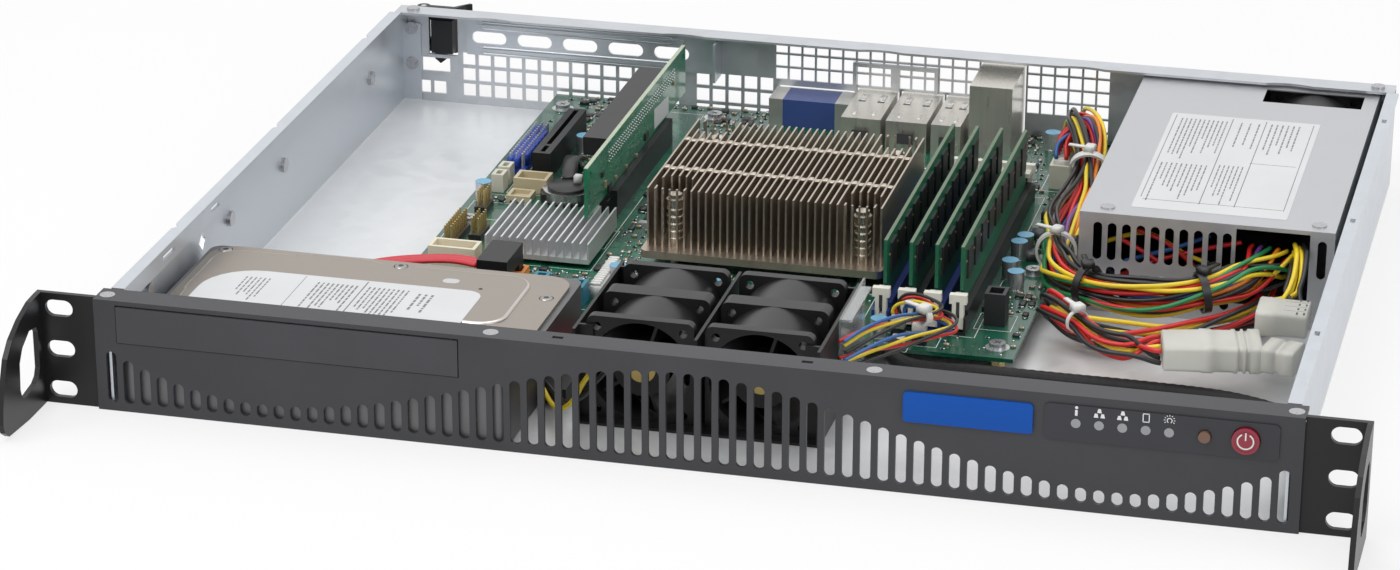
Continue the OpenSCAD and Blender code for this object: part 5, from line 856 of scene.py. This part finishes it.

# the lid's screws in their wells with a near-black disc as painted shade in each recess, a rolled shoulder
# round the raised deck tinted paler than the lid as a painted highlight, and a pale oval mark
lidDetail = {
    "drive": (-210.5, 2.0, 147.0, 101.6), "deckHigh": 0.8,
    "screws": [(0.05, 0.07), (0.05, 0.93), (0.95, 0.07), (0.948, 0.758), (0.526, 0.93)],
    "head": [(2.5, 0.0), (2.5, 0.55), (2.2, 0.85), (1.6, 1.0)], "recessShade": 1.15,
    "disk": (0.36, 0.5, 46.0), "plate": (6.0, 46.5, 124.0, 47.0, 9.0),
    "shoulder": [(-0.4, 0.0), (0.75, 0.0), (0.65, 0.3), (0.35, 0.65), (-0.1, 0.86), (-0.4, 0.86)],
    "bright": (0.58, 0.55, 0.52), "steel": (0.36, 0.35, 0.34),
}
driveX, driveY, driveWide, driveDeep = lidDetail["drive"]
plateTop = lidTop - lidDetail["deckHigh"]
heads = np.array([(driveX + u * driveWide, driveY + v * driveDeep, plateTop - 0.6)
                  for u, v in lidDetail["screws"]])
shapes = [lathes(heads, lidDetail["head"], lidDetail["steel"], 28)]
# a near-black disc on each head: painted shade in the screw's recess
shapes.append(lathes(heads + [0, 0, 0.98], [(lidDetail["recessShade"], 0.0), (lidDetail["recessShade"], 0.05)],
                     (0.05, 0.05, 0.05), 6))
# the deck's outline is the disk and the plate together: for each angle the farther of the two from a middle
u, v, diskRadius = lidDetail["disk"]
middle = np.array([driveX + u * driveWide, driveY + v * driveDeep + 14.0])
px, py, pw, ph, corner = lidDetail["plate"]
ways = np.radians(np.linspace(-90, 270, 361))
ray = np.stack([np.cos(ways), np.sin(ways)], axis=1)
drop = middle - [driveX + u * driveWide, driveY + v * driveDeep]
along = ray @ drop
toDisk = -along + np.sqrt(along ** 2 - drop @ drop + diskRadius ** 2)
edge = roundedOutline(driveX + px, driveY + py, driveX + px + pw, driveY + py + ph, (corner,) * 4, 16)
edge = np.vstack([edge, edge[:1]]) - middle
dense = np.linspace(0, len(edge) - 1, 4000)
denseEdge = np.stack([np.interp(dense, np.arange(len(edge)), edge[:, k]) for k in range(2)], axis=1)
denseWay = np.mod(np.arctan2(denseEdge[:, 1], denseEdge[:, 0]) + math.pi / 2, 2 * math.pi)
order = np.argsort(denseWay)
toPlate = np.interp(np.mod(ways + math.pi / 2, 2 * math.pi), denseWay[order],
                    np.linalg.norm(denseEdge, axis=1)[order])
reach = np.maximum(toDisk, toPlate)
outline = middle + ray * reach[:, None]
screwWell = 6.2  # the shoulder stops at the well of the last screw
away = np.linalg.norm(outline - heads[-1][:2], axis=1) > screwWell
first = int(np.argmin(away)) + int(np.argmax(away[np.argmin(away):]))
outline = np.roll(outline[:-1], -first, axis=0)[:int(away.sum()) - 1]
route = smoothRoute(np.c_[outline, np.full(len(outline), plateTop)], 1.0)
section = np.array(lidDetail["shoulder"])
# the shoulder is tinted paler than the lid: a painted highlight along the deck's edge
shapes.append(sweep(route, section, frames=laidFlat(route)) + (lidDetail["bright"],))
mark = roundedOutline(-113.0, 82.6, -106.6, 87.2, (2.2,) * 4)
shapes.append(slabShape(mark, lidTop - 0.1, lidTop + 0.06, (0.66, 0.66, 0.66)))
shapes.append(lathes((-96.9, 80.1, lidTop - 0.1), [(0.8, 0.0), (0.8, 0.14)], (0.03, 0.03, 0.03), 16))
addShapes("lidFittings", shapes, "mixedMetal", "drive_lid", smooth=False)

supplyLabel = {
    "corner": (129.2, 191.5), "far": (188.8, 302.0), "radii": (0.8, 0.8, 0.8, 0.8), "steps": 3,
    "thick": 0.12, "sunk": 0.2, "ink": 0.03,
    "text": [(134, 152, 248, 297, 11, 0.55), (133.5, 151, 205, 244, 10, 0.55), (158, 165, 262, 297, 3, 0.6),
             (156, 165, 205, 246, 6, 0.5), (170, 181, 254, 298, 6, 0.6)],
    "rules": [(131.2, 203, 300, 0.3), (154, 200, 300, 0.35), (167.5, 200, 300, 0.35), (186.4, 200, 300, 0.3)],
    "bars": [((129.2 + 188.8) / 2, 201, 188.8 - 129.2 - 6, 0.35), (176, 250, 18, 0.35)],
}
glueLabel("supply", supplyLabel, supplyHigh[2], "psu_steel", 50)
print("labels glued")


# front marks: plain small signs above the lights, and the ring and stroke on the power button
def arcStrip(cx, cz, radius, width, begin, end, steps=28):
    # a flat ring or part of one, as a strip between two radii
    angle = np.radians(np.linspace(begin, end, steps))
    outer, inner = [np.stack([cx + r * np.cos(angle), cz + r * np.sin(angle)], axis=1)
                    for r in (radius + width / 2, radius - width / 2)]
    return np.vstack([outer, inner[::-1]])


frontMarks = {"ink": 0.04, "above": 4.6, "lightStep": 8.05, "firstLight": 140.4, "middle": 33.2}
filmFace = -benchBox("control_overlay")[0][1]
z = frontMarks["middle"] + frontMarks["above"]


def stamp(outline):
    return slabShape(outline, filmFace, filmFace + frontMarks["ink"])


def bar(x0, z0, x1, z1):
    return [(x0, z0), (x1, z0), (x1, z1), (x0, z1)]


shapes = []
for number in range(5):
    x = frontMarks["firstLight"] + number * frontMarks["lightStep"]
    if number == 0:  # a dot over a bar
        shapes += [stamp(bar(x - 0.4, z - 1.7, x + 0.5, z + 0.4)),
                   stamp(arcStrip(x + 0.1, z + 1.3, 0.3, 0.5, 0, 359))]
    elif number < 3:  # three blocks in a triangle, each narrower at its top
        for dx, dz in ((0, 0.8), (-1.15, -1.0), (1.15, -1.0)):
            shapes.append(stamp([(x + dx - 0.8, z + dz - 0.7), (x + dx + 0.8, z + dz - 0.7),
                                 (x + dx + 0.45, z + dz + 0.8), (x + dx - 0.45, z + dz + 0.8)]))
    elif number == 3:  # the outline of a drum
        shapes += [stamp(bar(x + dx - 0.17, z - 1.5, x + dx + 0.17, z + 1.5)) for dx in (-1.05, 1.05)]
        shapes += [stamp(bar(x - 1.1, z + dz - 0.17, x + 1.1, z + dz + 0.17)) for dz in (-1.5, 1.5)]
    else:  # a round lamp with rays
        shapes.append(stamp(arcStrip(x, z - 0.1, 0.85, 0.32, -60, 240)))
        for angle in range(-30, 240, 30):
            c, s = math.cos(math.radians(angle)), math.sin(math.radians(angle))
            shapes.append(stamp([(x + 1.45 * c + 0.13 * s, z + 1.45 * s - 0.13 * c),
                                 (x + 2.0 * c + 0.13 * s, z + 2.0 * s - 0.13 * c),
                                 (x + 2.0 * c - 0.13 * s, z + 2.0 * s + 0.13 * c),
                                 (x + 1.45 * c - 0.13 * s, z + 1.45 * s + 0.13 * c)]))
addShapes("frontMarks", [facing(shape, "front") for shape in shapes], "whiteInk", "overlay", smooth=False)

buttonLow, buttonHigh = benchBox("power_button")
face = -buttonLow[1]
cx, cz = (buttonLow[0] + buttonHigh[0]) / 2, (buttonLow[2] + buttonHigh[2]) / 2
powerSign = {"radius": 2.75, "stroke": 0.5, "ink": 0.05, "sunk": 0.25}
r, w = powerSign["radius"], powerSign["stroke"]
sign = [slabShape(outline, face - powerSign["sunk"], face + powerSign["ink"])
        for outline in (arcStrip(cx, cz, r, w, 118, 422, 40),
                        bar(cx - w / 2, cz + 0.4, cx + w / 2, cz + r + 0.5))]
addShapes("powerSign", [facing(shape, "front") for shape in sign], "whiteInk", "button_red",
          body="power_button_body", smooth=False)
print("front marked")


# the board's small life: tracks, vias, printed outlines and a few hundred small parts
boardLow, boardHigh = benchBox("main_board")
boardTop = boardHigh[2]
boardSide = boardHigh[:2] - boardLow[:2]
boardDetail = {
    "pitch": 3.6, "parts": 1500, "jitter": 1.0, "margin": 4.0, "trackGroups": 95, "trackWidth": 0.35,
    "trackPitch": 0.8, "vias": 520, "smallShare": 0.55, "tanShare": 0.86, "marked": 0.6,
    "small": ((0.9, 0.84, 0.5), (0.02, 0.02, 0.022)), "tan": ((1.2, 1.25, 0.9), (0.42, 0.30, 0.18)),
    "chip": (0.022, 0.022, 0.024), "printed": 0.025, "printWide": 0.3, "trackThick": 0.02,
    "smallEnds": ((1.7, 0.8, 0.44), (0.70, 0.70, 0.72)), "tanEnds": ((2.1, 1.2, 0.84), (0.68, 0.68, 0.70)),
    "chipEnds": ((1.35, 0.8, 0.25), (0.66, 0.66, 0.68)), "inductor": (6.4, 6.0, 3.4),
    "inductors": [(88, 255), (88, 232), (88, 209), (46, 300), (56, 300), (66, 300), (-20, 262), (-8, 262),
                  (4, 262), (16, 262), (70, 290)],
    "screwPad": [(4.6, 0.0), (4.6, 0.04)], "via": [(0.42, 0.0), (0.42, 0.03)],
}
# nothing small stands where a large part does: (x0, y0, x1, y1) in bench millimetres
taken = np.array([
    (-57, 163, 39, 251), (-119, 154, -75, 198), (38, 124, 82, 277), (-96, 178, -76, 340),
    (-129, 245, -114, 306), (-120, 215, -92, 243), (-47, 310, -11, 352), (-14, 311, 7, 352),
    (5, 311, 27, 352), (25, 311, 42, 352), (39, 318, 62, 352), (79, 285, 94, 343), (-141, 246, -125, 294),
    (-141, 198, -122, 217), (-142, 160, -120, 190), (-138, 137, -117, 151), (-117, 131, -93, 143),
    (-92, 118, -82, 132), (-76, 115, -66, 129), (-131, 229, -112, 243), (-140, 226, -130, 248),
    (80, 133, 94, 149), (49, 111, 70, 121), (52, 104, 60, 113), (-64, 100, 46, 110)])
rng = np.random.default_rng(11)
columns, rows = (boardSide / boardDetail["pitch"]).astype(int)
gx, gy = np.meshgrid(np.arange(columns), np.arange(rows))
spots = np.c_[gx.ravel(), gy.ravel()] * boardDetail["pitch"] + boardDetail["margin"]
spots = spots + rng.uniform(-boardDetail["jitter"], boardDetail["jitter"], spots.shape) + boardLow[:2]


def isFree(points, clear=1.2):
    # true where a point lies outside every taken rectangle and inside the board
    x, y = points[:, :1], points[:, 1:2]
    inside = ((x > taken[:, 0] - clear) & (x < taken[:, 2] + clear)
              & (y > taken[:, 1] - clear) & (y < taken[:, 3] + clear)).any(axis=1)
    edge = boardDetail["margin"] / 2
    fits = ((points > boardLow[:2] + edge) & (points < boardHigh[:2] - edge)).all(axis=1)
    return ~inside & fits


free = spots[isFree(spots)]
cluster = np.sin(free[:, 0] / 9.0 + 1.3) + np.sin(free[:, 1] / 11.0) + rng.normal(0, 0.7, len(free))
free = free[np.argsort(-cluster)[:boardDetail["parts"]]]
kind = rng.random(len(free))
turn = np.where(rng.random(len(free)) < 0.5, 0.0, 90.0)
foot = np.c_[free, np.full(len(free), boardTop)]
lean = np.radians(turn)
shapes = []
chips = kind >= boardDetail["tanShare"]
small = kind < boardDetail["smallShare"]
tanOnes = ~small & ~chips
for which, key in ((small, "small"), (tanOnes, "tan")):
    shapes.append(bricks(foot[which], *boardDetail[key], 0.1, turn[which]))
chipSize = np.c_[rng.uniform(2.2, 4.6, chips.sum()), rng.uniform(1.8, 3.4, chips.sum()),
                 rng.uniform(0.8, 1.4, chips.sum())]
shapes.append(bricks(foot[chips], chipSize, boardDetail["chip"], 0.15, turn[chips]))
endShares, endColour = boardDetail["chipEnds"]
metal = [bricks(foot[small], *boardDetail["smallEnds"], 0.08, turn[small]),
         bricks(foot[tanOnes], *boardDetail["tanEnds"], 0.08, turn[tanOnes]),
         bricks(foot[chips], chipSize * endShares, endColour, 0.05, turn[chips])]
inductors = np.array(boardDetail["inductors"])
shapes.append(bricks(pointsAt(inductors[:, 0], inductors[:, 1], boardTop), boardDetail["inductor"],
                     (0.07, 0.07, 0.075), 0.6))
addShapes("boardParts", shapes, "mixedParts", "chip")
addShapes("boardLeads", metal, "mixedMetal", "mixed_plastic")

marks = rng.random(len(free)) < boardDetail["marked"]
ticks = foot[marks] + np.c_[rng.uniform(-1.9, 1.9, marks.sum()), rng.uniform(-1.7, 1.7, marks.sum()),
                            np.zeros(marks.sum())]
wide, printed = boardDetail["printWide"], boardDetail["printed"]
shapes = [bricks(ticks, (1.0, 0.22, printed), (1, 1, 1), 0.0, turn[marks])]
for x0, y0, x1, y1 in taken:
    if x1 - x0 > 60 or y1 > 345:
        continue
    for cx, cy, w, d in (((x0 + x1) / 2, y0, x1 - x0, wide), ((x0 + x1) / 2, y1, x1 - x0, wide),
                         (x0, (y0 + y1) / 2, wide, y1 - y0), (x1, (y0 + y1) / 2, wide, y1 - y0)):
        shapes.append(bricks((cx, cy, boardTop), (w, d, printed)))
addShapes("boardPrint", shapes, "whiteInk", "mixed_plastic", smooth=False)

# tracks: groups of parallel lines with one slanting stretch in the middle
groupsOfTracks = boardDetail["trackGroups"]
origin = boardLow[:2] + rng.uniform(0.08, 0.85, (groupsOfTracks, 2)) * boardSide
lines = rng.integers(3, 8, groupsOfTracks)
upright = rng.random(groupsOfTracks) < 0.5
feet, sizes, angles = [], [], []
for n in range(groupsOfTracks):
    step = np.arange(lines[n]) * boardDetail["trackPitch"]
    first, slant, last = rng.uniform(6, 22), rng.uniform(3, 8), rng.uniform(6, 22)
    bend = 45.0 if rng.random() < 0.5 else -45.0
    at = np.zeros((lines[n], 2))
    at[:, 1] = step
    for length, angle in ((first, 0.0), (slant, bend), (last, 0.0)):
        c, s = math.cos(math.radians(angle)), math.sin(math.radians(angle))
        middle = at + np.array([c, s]) * length / 2
        feet.append(np.c_[middle[:, ::-1] if upright[n] else middle, np.zeros(lines[n])]
                    + [origin[n][0], origin[n][1], boardTop])
        sizes.append(np.tile([length + boardDetail["trackWidth"] / 2, boardDetail["trackWidth"],
                              boardDetail["trackThick"]], (lines[n], 1)))
        angles.append(np.full(lines[n], (90 - angle) if upright[n] else angle))
        at = at + np.array([c, s]) * length
feet, sizes, angles = np.vstack(feet), np.vstack(sizes), np.concatenate(angles)
reach = sizes[:, 0] / 2 + 1
low, high = boardLow[:2] + reach[:, None], boardHigh[:2] - reach[:, None]
onBoard = ((feet[:, :2] > low) & (feet[:, :2] < high)).all(1)
addShapes("boardTracks", [bricks(feet[onBoard], sizes[onBoard], (1, 1, 1), 0.0, angles[onBoard])],
          "trackGreen", "board", smooth=False)
viaSpots = boardLow[:2] + rng.uniform(0.02, 0.98, (boardDetail["vias"], 2)) * boardSide
viaSpots = viaSpots[isFree(viaSpots, 0.0)]
addShapes("boardVias", [lathes(np.c_[viaSpots, np.full(len(viaSpots), boardTop)], boardDetail["via"],
                               sides=6)], "goldPlate", "board", smooth=False)
holeShares = np.array([(0.03, 0.043), (0.63, 0.043), (0.968, 0.043), (0.03, 0.36), (0.968, 0.36),
                       (0.03, 0.93), (0.3, 0.95), (0.968, 0.72)])
holes = np.c_[boardLow[:2] + holeShares * boardSide, np.full(len(holeShares), boardTop)]
addShapes("screwPads", [lathes(holes, boardDetail["screwPad"], (0.72, 0.73, 0.74), 32)], "mixedMetal",
          "board", smooth=False)
print("board dressed")


# memory: gold contacts, small parts on the right faces; each latch has a near-black strip in its slot as
# painted shade
memoryDetail = {"first": 45.64, "step": 9.8, "front": 134.0, "back": 266.5, "thick": 1.3,
                "partLevels": (16.2, 33.5), "contactLevel": 13.4}
shapes, goldShapes = [], []
for number in range(4):
    x = memoryDetail["first"] + number * memoryDetail["step"]
    y = np.linspace(memoryDetail["front"] + 4, memoryDetail["back"] - 4, 44)
    for level in memoryDetail["partLevels"]:
        for side in (-1, 1):
            face = x + side * (memoryDetail["thick"] / 2 + 0.2)
            shapes.append(bricks(pointsAt(face, y, level), (0.4, 0.9, 0.6), (0.45, 0.34, 0.22)))
    contacts = np.arange(memoryDetail["front"] + 2, memoryDetail["back"] - 2, 1.0)
    for side in (-1, 1):
        goldShapes.append(bricks(pointsAt(x + side * memoryDetail["thick"] / 2, contacts,
                                          memoryDetail["contactLevel"]), (0.08, 0.6, 2.6)))
addShapes("memoryParts", shapes, "mixedParts", "memory", smooth=False)
addShapes("memoryContacts", goldShapes, "goldPlate", "memory", smooth=False)
# each latch's slot is a near-black strip: painted shade in the slot
for number in range(1, 5):
    for end in ("front", "rear"):
        latch = "latch_%s_%d" % (end, number)
        low, high = benchBox(latch)
        tall = high[2] - low[2]
        slit = bricks(((low[0] + high[0]) / 2, low[1] if end == "front" else high[1], low[2] + 0.42 * tall),
                      (1.3, 0.1, 0.38 * tall), (0.05, 0.05, 0.05))
        addShapes("latchSlotShade_%s_%d" % (end, number), [slit], "mixedParts", "latch_white",
                  body=latch + "_body", smooth=False)

# the riser card: rows of solder pins, a bare label and small parts on its right face
riserFace = benchBox("riser_card")[1][0]
soot, clay, paleTrack = (0.02, 0.02, 0.022), (0.42, 0.32, 0.2), (0.10, 0.34, 0.20)
riserDetail = {
    "rows": (36.8, 34.9, 33.0), "front": 190.0, "back": 300.0, "pitch": 2.6,
    "pin": [(0.4, 0.0), (0.4, 0.25), (0.18, 0.6)], "pinColour": (0.62, 0.62, 0.64),
    "label": [(283.8, 21.4), (307.1, 20.6), (307.2, 28.3), (283.8, 30.0)],
    "parts": ((202, 30, 3.2, 2.2, soot), (206, 24, 1.8, 2.8, clay), (212, 19, 4.5, 4.5, soot),
              (222, 22, 1.8, 1.2, clay), (238, 21, 1.8, 1.2, clay), (254, 20, 1.8, 1.2, clay),
              (270, 22, 5.0, 3.0, soot), (316, 30, 2.2, 1.4, clay)),
    "tracks": ((211.9, 20.5, 0.35, 19), (250, 18.5, 60, 0.3), (246, 16.6, 72, 0.3), (236, 28.6, 50, 0.25)),
}
y = np.arange(riserDetail["front"] + 22, riserDetail["back"] + 18, riserDetail["pitch"])
shapes = []
for number, level in enumerate(riserDetail["rows"]):
    dots = pointsAt(y + (number % 2), level, riserFace - 0.02)
    shapes.append(facing(lathes(dots, riserDetail["pin"], riserDetail["pinColour"], 8), "right"))
addShapes("riserPins", shapes, "mixedMetal", "pins")
label = slabShape(riserDetail["label"], riserFace - 0.02, riserFace + 0.1)
addShapes("riserLabel", [facing(label, "right")], "labelPaper", "mixed_plastic", smooth=False)
shapes = [bricks((riserFace + 0.3, y, z), (0.7, w, h), colour)
          for y, z, w, h, colour in riserDetail["parts"]]
tracks = [bricks((riserFace + 0.02, y, z), (0.05, w, h), paleTrack) for y, z, w, h in riserDetail["tracks"]]
addShapes("riserParts", shapes + tracks, "mixedParts", "chip", smooth=False)

# round gold labels on the front fans' hubs, one on each rotor that faces the panel
hubLabel = {"rotors": (1, 3), "radius": 5.2, "thick": 0.08, "colour": (0.60, 0.44, 0.16)}
for number in hubLabel["rotors"]:
    low, high = benchBox("fan_rotor_%d" % number)
    disc = lathes(((low[0] + high[0]) / 2, (low[2] + high[2]) / 2, -low[1] - 0.02),
                  [(hubLabel["radius"], 0.0), (hubLabel["radius"], hubLabel["thick"])],
                  hubLabel["colour"], 32)
    addShapes("hubLabel_%d" % number, [facing(disc, "front")], "mixedMetal", "rotor",
              body="fan_rotor_%d_body" % number, smooth=False)

# a rolled edge round each of the slot cover's two ribs: half-round, following a long oval
coverEdges = {"middle": (-135.0, 32.0), "straight": 82.0, "bend": 1.4, "apart": 5.6, "face": 349.9,
              "thick": 0.45}
turns = np.radians(np.r_[np.linspace(-90, 90, 10), np.linspace(90, 270, 10)])
shift = np.repeat([coverEdges["straight"] / 2, -coverEdges["straight"] / 2], 10)
x = coverEdges["middle"][0] + shift + coverEdges["bend"] * np.cos(turns)
shapes = []
for side in (-1, 1):
    z = coverEdges["middle"][1] + side * coverEdges["apart"] + coverEdges["bend"] * np.sin(turns)
    ring = pointsAt(x, coverEdges["face"], z)
    ring = np.vstack([ring, ring[:1]])
    steady = (np.gradient(ring, axis=0), np.tile([0.0, 1.0, 0.0], (len(ring), 1)),
              np.c_[np.cos(np.r_[turns, turns[:1]]), np.zeros(len(ring)), np.sin(np.r_[turns, turns[:1]])])
    shapes.append(sweep(ring, roundSection(coverEdges["thick"], 10), frames=steady) + ((0.66, 0.68, 0.70),))
addShapes("coverEdges", shapes, "mixedMetal", "rear_panel")

# hooks that lock the fins together, in two zigzag rows over the fins
finLocks = {"wide": 93.0, "fins": 33, "thick": 0.7, "margin": (1.5, 47.0), "rows": (-16.4, 16.4),
            "stagger": 0.8, "size": (1.7, 2.6, 0.45), "colour": (0.56, 0.50, 0.42)}
sinkLow, sinkHigh = benchBox("cpu_heatsink")
gap = (finLocks["wide"] - finLocks["thick"]) / (finLocks["fins"] - 1)
x = sinkLow[0] + finLocks["margin"][0] + finLocks["thick"] / 2 + gap * (np.arange(finLocks["fins"] - 1) + 0.5)
zigzag = finLocks["stagger"] * np.where(np.arange(len(x)) % 2 == 0, 1, -1)
shapes = [bricks(pointsAt(x, sinkLow[1] + finLocks["margin"][1] + row + zigzag, sinkHigh[2] - 0.2),
                 finLocks["size"], finLocks["colour"], 0.15) for row in finLocks["rows"]]
addShapes("finLocks", shapes, "mixedMetal", "cooler", smooth=False)

# the network jacks' spring tabs, and near-black bricks as painted shade in the gaps by the tabs and in the
# seams of the tall port's shell
jackTops = {
    "boxes": ((-11.0, 5.8), (8.0, 25.3), (27.2, 39.6)), "top": 22.6, "aside": 0.24,
    "steel": (0.78, 0.77, 0.74),
    "tab": (341, (2.6, 7.0, 0.35)), "gap": (336.6, (3.0, 1.4, 0.05)), "rib": (322, (1.4, 5.0, 0.25)),
    "gapShade": (0.05, 0.05, 0.05), "frontSlit": (312.9, 0.4, 0.06, 4.5), "slitShade": (0.06, 0.06, 0.065),
}
shapes, shadeBricks = [], []
top, steel = jackTops["top"], jackTops["steel"]
slitY, slitShare, slitThick, slitTall = jackTops["frontSlit"]
# the near-black bricks in the gaps by the tabs and in the slits of the shell's front are painted shade in
# those openings
for x0, x1 in jackTops["boxes"]:
    middle = (x0 + x1) / 2
    for dx in (-jackTops["aside"], jackTops["aside"]):
        cx = middle + dx * (x1 - x0)
        shapes.append(bricks((cx, jackTops["tab"][0], top), jackTops["tab"][1], steel, 0.12))
        shadeBricks.append(bricks((cx, jackTops["gap"][0], top), jackTops["gap"][1], jackTops["gapShade"]))
        shapes.append(bricks((cx, jackTops["rib"][0], top), jackTops["rib"][1], steel, 0.1))
    shadeBricks.append(bricks((middle, slitY, top - 9), (slitShare * (x1 - x0), slitThick, slitTall),
                           jackTops["slitShade"]))
addShapes("jackTabs", shapes, "mixedMetal", "port_steel")
addShapes("jackSlotShades", shadeBricks, "mixedParts", "port_steel", smooth=False)
print("cards and ports dressed")

# light, floor and camera
stageSettings = {"floor": 3.0, "key": 13.5, "fill": 5.0, "top": 7.5, "world": 0.55, "white": 0.72}


def seenDirectly(tree):
    # 1 for rays that come from the camera, a mirror or glass, 0 for those that light the object
    rays = addNode(tree, "LightPath", {}).outputs
    mirrored = mathNode(tree, "MAXIMUM", rays["Is Camera Ray"], rays["Is Glossy Ray"])
    return mathNode(tree, "MAXIMUM", mirrored, rays["Is Transmission Ray"])


def makeFloor():
    half = stageSettings["floor"]
    mesh = bpy.data.meshes.new("floor")
    mesh.from_pydata([(-half, -half, 0), (half, -half, 0), (half, half, 0), (-half, half, 0)], [],
                     [(0, 1, 2, 3)])
    floor = bpy.data.objects.new("floor", mesh)
    floor.location.z = -0.0002
    bpy.context.scene.collection.objects.link(floor)
    material = bpy.data.materials.new("floorWhite")
    material.use_nodes = True
    tree = material.node_tree
    shader = tree.nodes["Principled BSDF"]
    shader.inputs["Base Color"].default_value = (0.86, 0.86, 0.86, 1)
    shader.inputs["Roughness"].default_value = 0.9
    white = addNode(tree, "Emission", {})
    share = mathNode(tree, "MULTIPLY", seenDirectly(tree), stageSettings["white"])
    mixer = addNode(tree, "MixShader", {0: share, 1: shader.outputs[0], 2: white.outputs[0]})
    setInput(tree, tree.nodes["Material Output"].inputs[0], mixer.outputs[0])
    mesh.materials.append(material)


makeFloor()


def makeLamp(name, spot, target, size, power):
    data = bpy.data.lights.new(name, "AREA")
    data.shape = "RECTANGLE"
    data.size, data.size_y = size
    data.energy = power
    lamp = bpy.data.objects.new(name, data)
    lamp.location = spot
    way = np.asarray(target, float) - np.asarray(spot, float)
    flat = math.hypot(way[0], way[1])
    lamp.rotation_euler = (math.atan2(flat, -way[2]), 0, math.atan2(-way[0], way[1]))
    bpy.context.scene.collection.objects.link(lamp)


for name, spot, size in (("key", (-0.7, -0.9, 1.5), (1.4, 1.0)), ("fill", (1.3, -1.0, 0.9), (1.0, 0.8)),
                         ("top", (0.1, 0.35, 1.5), (1.4, 1.0))):
    makeLamp(name + "Lamp", spot, (0, 0, 0), size, stageSettings[name])

world = bpy.data.worlds.new("studio")
bpy.context.scene.world = world
world.use_nodes = True
sky = world.node_tree.nodes["Background"]
sky.inputs["Color"].default_value = (1, 1, 1, 1)
dim = stageSettings["world"]  # the sky is white where it is seen and dimmer as a light
setInput(world.node_tree, sky.inputs["Strength"],
         mathNode(world.node_tree, "MULTIPLY_ADD", seenDirectly(world.node_tree), 1.0 - dim, dim))

photo = {
    "width": 1400, "focal": 4329.453, "middle": (692.015, 443.598), "height": 570,
    "azimuth": 14.159, "elevation": 23.881, "roll": -0.065, "place": (0.345005, -1.514571, 0.62803),
}
cameraData = bpy.data.cameras.new("photoCamera")
cameraData.sensor_width = 36.0
cameraData.lens = 36.0 * photo["focal"] / photo["width"]
cameraData.shift_x = (photo["width"] / 2 - photo["middle"][0]) / photo["width"]
cameraData.shift_y = (photo["middle"][1] - photo["height"] / 2) / photo["width"]
cameraData.clip_start = 0.05
camera = bpy.data.objects.new("photoCamera", cameraData)
camera.location = photo["place"]
camera.rotation_euler = (math.radians(90 - photo["elevation"]), math.radians(photo["roll"]),
                         math.radians(photo["azimuth"]))
bpy.context.scene.collection.objects.link(camera)
bpy.context.scene.camera = camera
bpy.context.scene.view_settings.view_transform = "Standard"
print("camera and lamps set")
